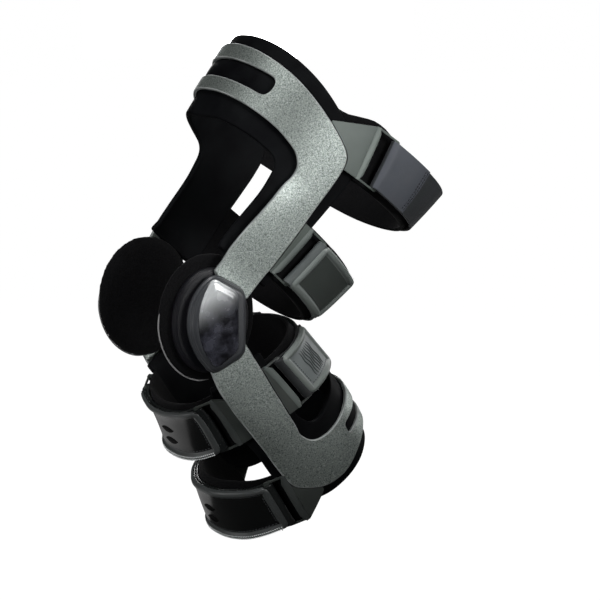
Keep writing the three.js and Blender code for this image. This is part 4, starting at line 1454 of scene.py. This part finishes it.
def make_condyle_pad(side, label):
    obj = new_object(f"condyle_cushion_{label}", condyle_pad_shape(side), PAD_CLOTH)
    swell(obj)
    obj.data.shade_smooth()
    if not obj.data.materials:
        obj.data.materials.append(PAD_CLOTH)
    add_subdivision(obj, 1)
    dress(obj, "hinges", "pad", f"condyle_pad_{label}")


# Build

make_frame(THIGH, THIGH_FRAME, THIGH_SLOT)
make_frame(CALF, CALF_FRAME, CALF_SLOT)
make_liner(THIGH, THIGH_LINER, THIGH_SLOT)
make_liner(CALF, CALF_LINER, CALF_SLOT)

SIDES = {"lateral": 1, "medial": -1}
FRAME_HALVES = {"thigh": half_polygon(THIGH, THIGH_FRAME), "calf": half_polygon(CALF, CALF_FRAME)}
LINER_HALVES = {"thigh": half_polygon(THIGH, THIGH_LINER), "calf": half_polygon(CALF, CALF_LINER)}
Look = namedtuple("Look", "fold run grip tab lip slot")
LOOKS = {
    "thigh_upper": Look(SLATE, SLATE_SHADED_RUN, None, LIGHT_TAB, LIGHT_LIP_HIGHLIGHT, "strap"),
    "thigh_lower": Look(GREY, GREY, (PALE_GRIP, SLATE_GRIP, None), MID_TAB, MID_LIP_HIGHLIGHT, "strap"),
    "calf_rear": Look(CHARCOAL, CHARCOAL, (PALE_GRIP, GREY_GRIP, RIB_RUBBER), DARK_TAB, MID_LIP_HIGHLIGHT, "strap"),
    "shin_upper": Look(GLOSS, GLOSS, (SATIN_BLACK, BLACK_GRIP, RUBBER), DARK_TAB, DARK_LIP_HIGHLIGHT, "shin_strap"),
    "shin_lower": Look(GLOSS, GLOSS, (SATIN_BLACK, BLACK_GRIP, RUBBER), DARK_TAB, DARK_LIP_HIGHLIGHT, "shin_strap"),
}
for strap_name, strap in STRAPS.items():
    plan = StrapPlan(strap)
    look = LOOKS[strap_name]
    make_band(strap_name, plan, look.fold, look.run, look.slot, FOLD_SAG if look.grip else FOLD_CROWN)
    make_pad(strap_name, plan, LINER_HALVES[plan.form.body])
    for label, side in SIDES.items():
        make_tab(strap_name, plan, FRAME_HALVES[plan.form.body], side, label, look.tab, look.lip)
        if not look.grip:
            make_seam(strap_name, plan, side, label, look.slot)
    if look.grip:
        make_grips(strap_name, plan, look.grip, look.slot)

for label, side in SIDES.items():
    make_condyle_pad(-side, label)
    make_welt(-side, label)
    make_plate(-side, label)
    make_cover(-side, label)
    make_badge(-side, label)
    for level in ("upper", "lower"):
        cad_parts[f"hinge_pin_{level}_{label}"].material_slots[0].material = STEEL


# Stage: floor, light and camera, with places and sizes in metres

FLOOR_DROP = 0.05
FLOOR_HALF = 8
FLOOR_GLOW = 1.0
WORLD_LIGHT = 0.015
BACKDROP = 1.0
CAMERA_AZIMUTH, CAMERA_ELEVATION = -28, 9
CAMERA_SPOT = (-0.655, -1.440, 0.257)
FOCAL_PIXELS, IMAGE_PIXELS, SENSOR = 2001.8, 600, 36
Lamp = namedtuple("Lamp", "name spot target size power angle seen mirrored", defaults=(True, True))
LIGHTS = [
    Lamp("key", (0.42, -0.72, 0.36), (0.06, -0.08, 0.175), (0.4, 0.4), 0.6, 37),
    Lamp("top", (-0.2, -0.4, 1.2), (0, 0, 0.05), (0.5, 0.5), 1.2, 60),
    Lamp("left_edge", (-0.9, 0.35, -0.1), (0, -0.05, -0.08), (0.5, 0.5), 1.3, 160),
    Lamp("low_back", (-0.1, 0.28, -0.2), (-0.1, 0.28, 0), (0.35, 0.45), 0.22, 160, seen=False),
    Lamp("left_front", (-0.85, -0.5, 0.25), (0, -0.05, 0), (0.4, 0.4), 0.9, 60, mirrored=False),
    Lamp("medial", (0.42, 0.72, 0.36), (0.06, 0.08, 0.175), (0.4, 0.4), 0.6, 37),
    Lamp("rear", (1.1, 0.25, 0.2), (0.05, 0, 0), (0.5, 0.5), 0.3, 70),
    Lamp("back", (0.9, 0.7, 0.6), (0.05, 0, 0), (0.6, 0.6), 3.5, 160),
]


def make_floor(height, half_size):
    bm = bmesh.new()
    bmesh.ops.create_grid(bm, x_segments=1, y_segments=1, size=half_size)
    bmesh.ops.translate(bm, verts=bm.verts, vec=(0, 0, height))
    finish = Finish("pale_floor", Base_Color=(0.06, 0.06, 0.06, 1), Roughness=0.9, Specular_IOR_Level=0.1)
    finish.shader.inputs["Emission Color"].default_value = (1, 1, 1, 1)
    seen = add_node(finish.tree, "ShaderNodeLightPath").outputs["Is Camera Ray"]
    finish.feed("Emission Strength", finish.span(seen, 0, 1, 0, FLOOR_GLOW))
    new_object("floor", bm, finish.material)


def make_light(lamp):
    light = bpy.data.lights.new(lamp.name, "AREA")
    light.shape = "RECTANGLE"
    light.size, light.size_y = lamp.size
    light.energy = lamp.power
    light.spread = radians(lamp.angle)
    obj = bpy.data.objects.new(lamp.name, light)
    obj.location = lamp.spot
    obj.visible_camera = lamp.seen
    obj.visible_glossy = lamp.mirrored
    obj.rotation_euler = (Vector(lamp.target) - Vector(lamp.spot)).to_track_quat("-Z", "Y").to_euler()
    bpy.context.scene.collection.objects.link(obj)


def make_world(colour, strength, backdrop):
    """White behind the object, and a softer even light on it."""
    world = bpy.data.worlds.new("studio")
    world.use_nodes = True
    tree = world.node_tree
    sky = tree.nodes["Background"]
    sky.inputs["Color"].default_value = (*colour, 1)
    seen = add_node(tree, "ShaderNodeLightPath").outputs["Is Camera Ray"]
    level = add_node(tree, "ShaderNodeMapRange", Value=seen)
    level.inputs["To Min"].default_value = strength
    level.inputs["To Max"].default_value = backdrop
    tree.links.new(level.outputs["Result"], sky.inputs["Strength"])
    bpy.context.scene.world = world


def make_camera():
    camera = bpy.data.cameras.new("camera")
    camera.sensor_width = SENSOR
    camera.lens = FOCAL_PIXELS / IMAGE_PIXELS * SENSOR
    obj = bpy.data.objects.new("camera", camera)
    obj.location = CAMERA_SPOT
    obj.rotation_euler = (radians(90 - CAMERA_ELEVATION), 0, radians(CAMERA_AZIMUTH))
    bpy.context.scene.collection.objects.link(obj)
    bpy.context.scene.camera = obj


make_floor(CAD_BOX[0][2] - FLOOR_DROP, FLOOR_HALF)
make_world((1, 1, 1), WORLD_LIGHT, BACKDROP)
for lamp in LIGHTS:
    make_light(lamp)
make_camera()
bpy.context.scene.view_settings.view_transform = "Standard"
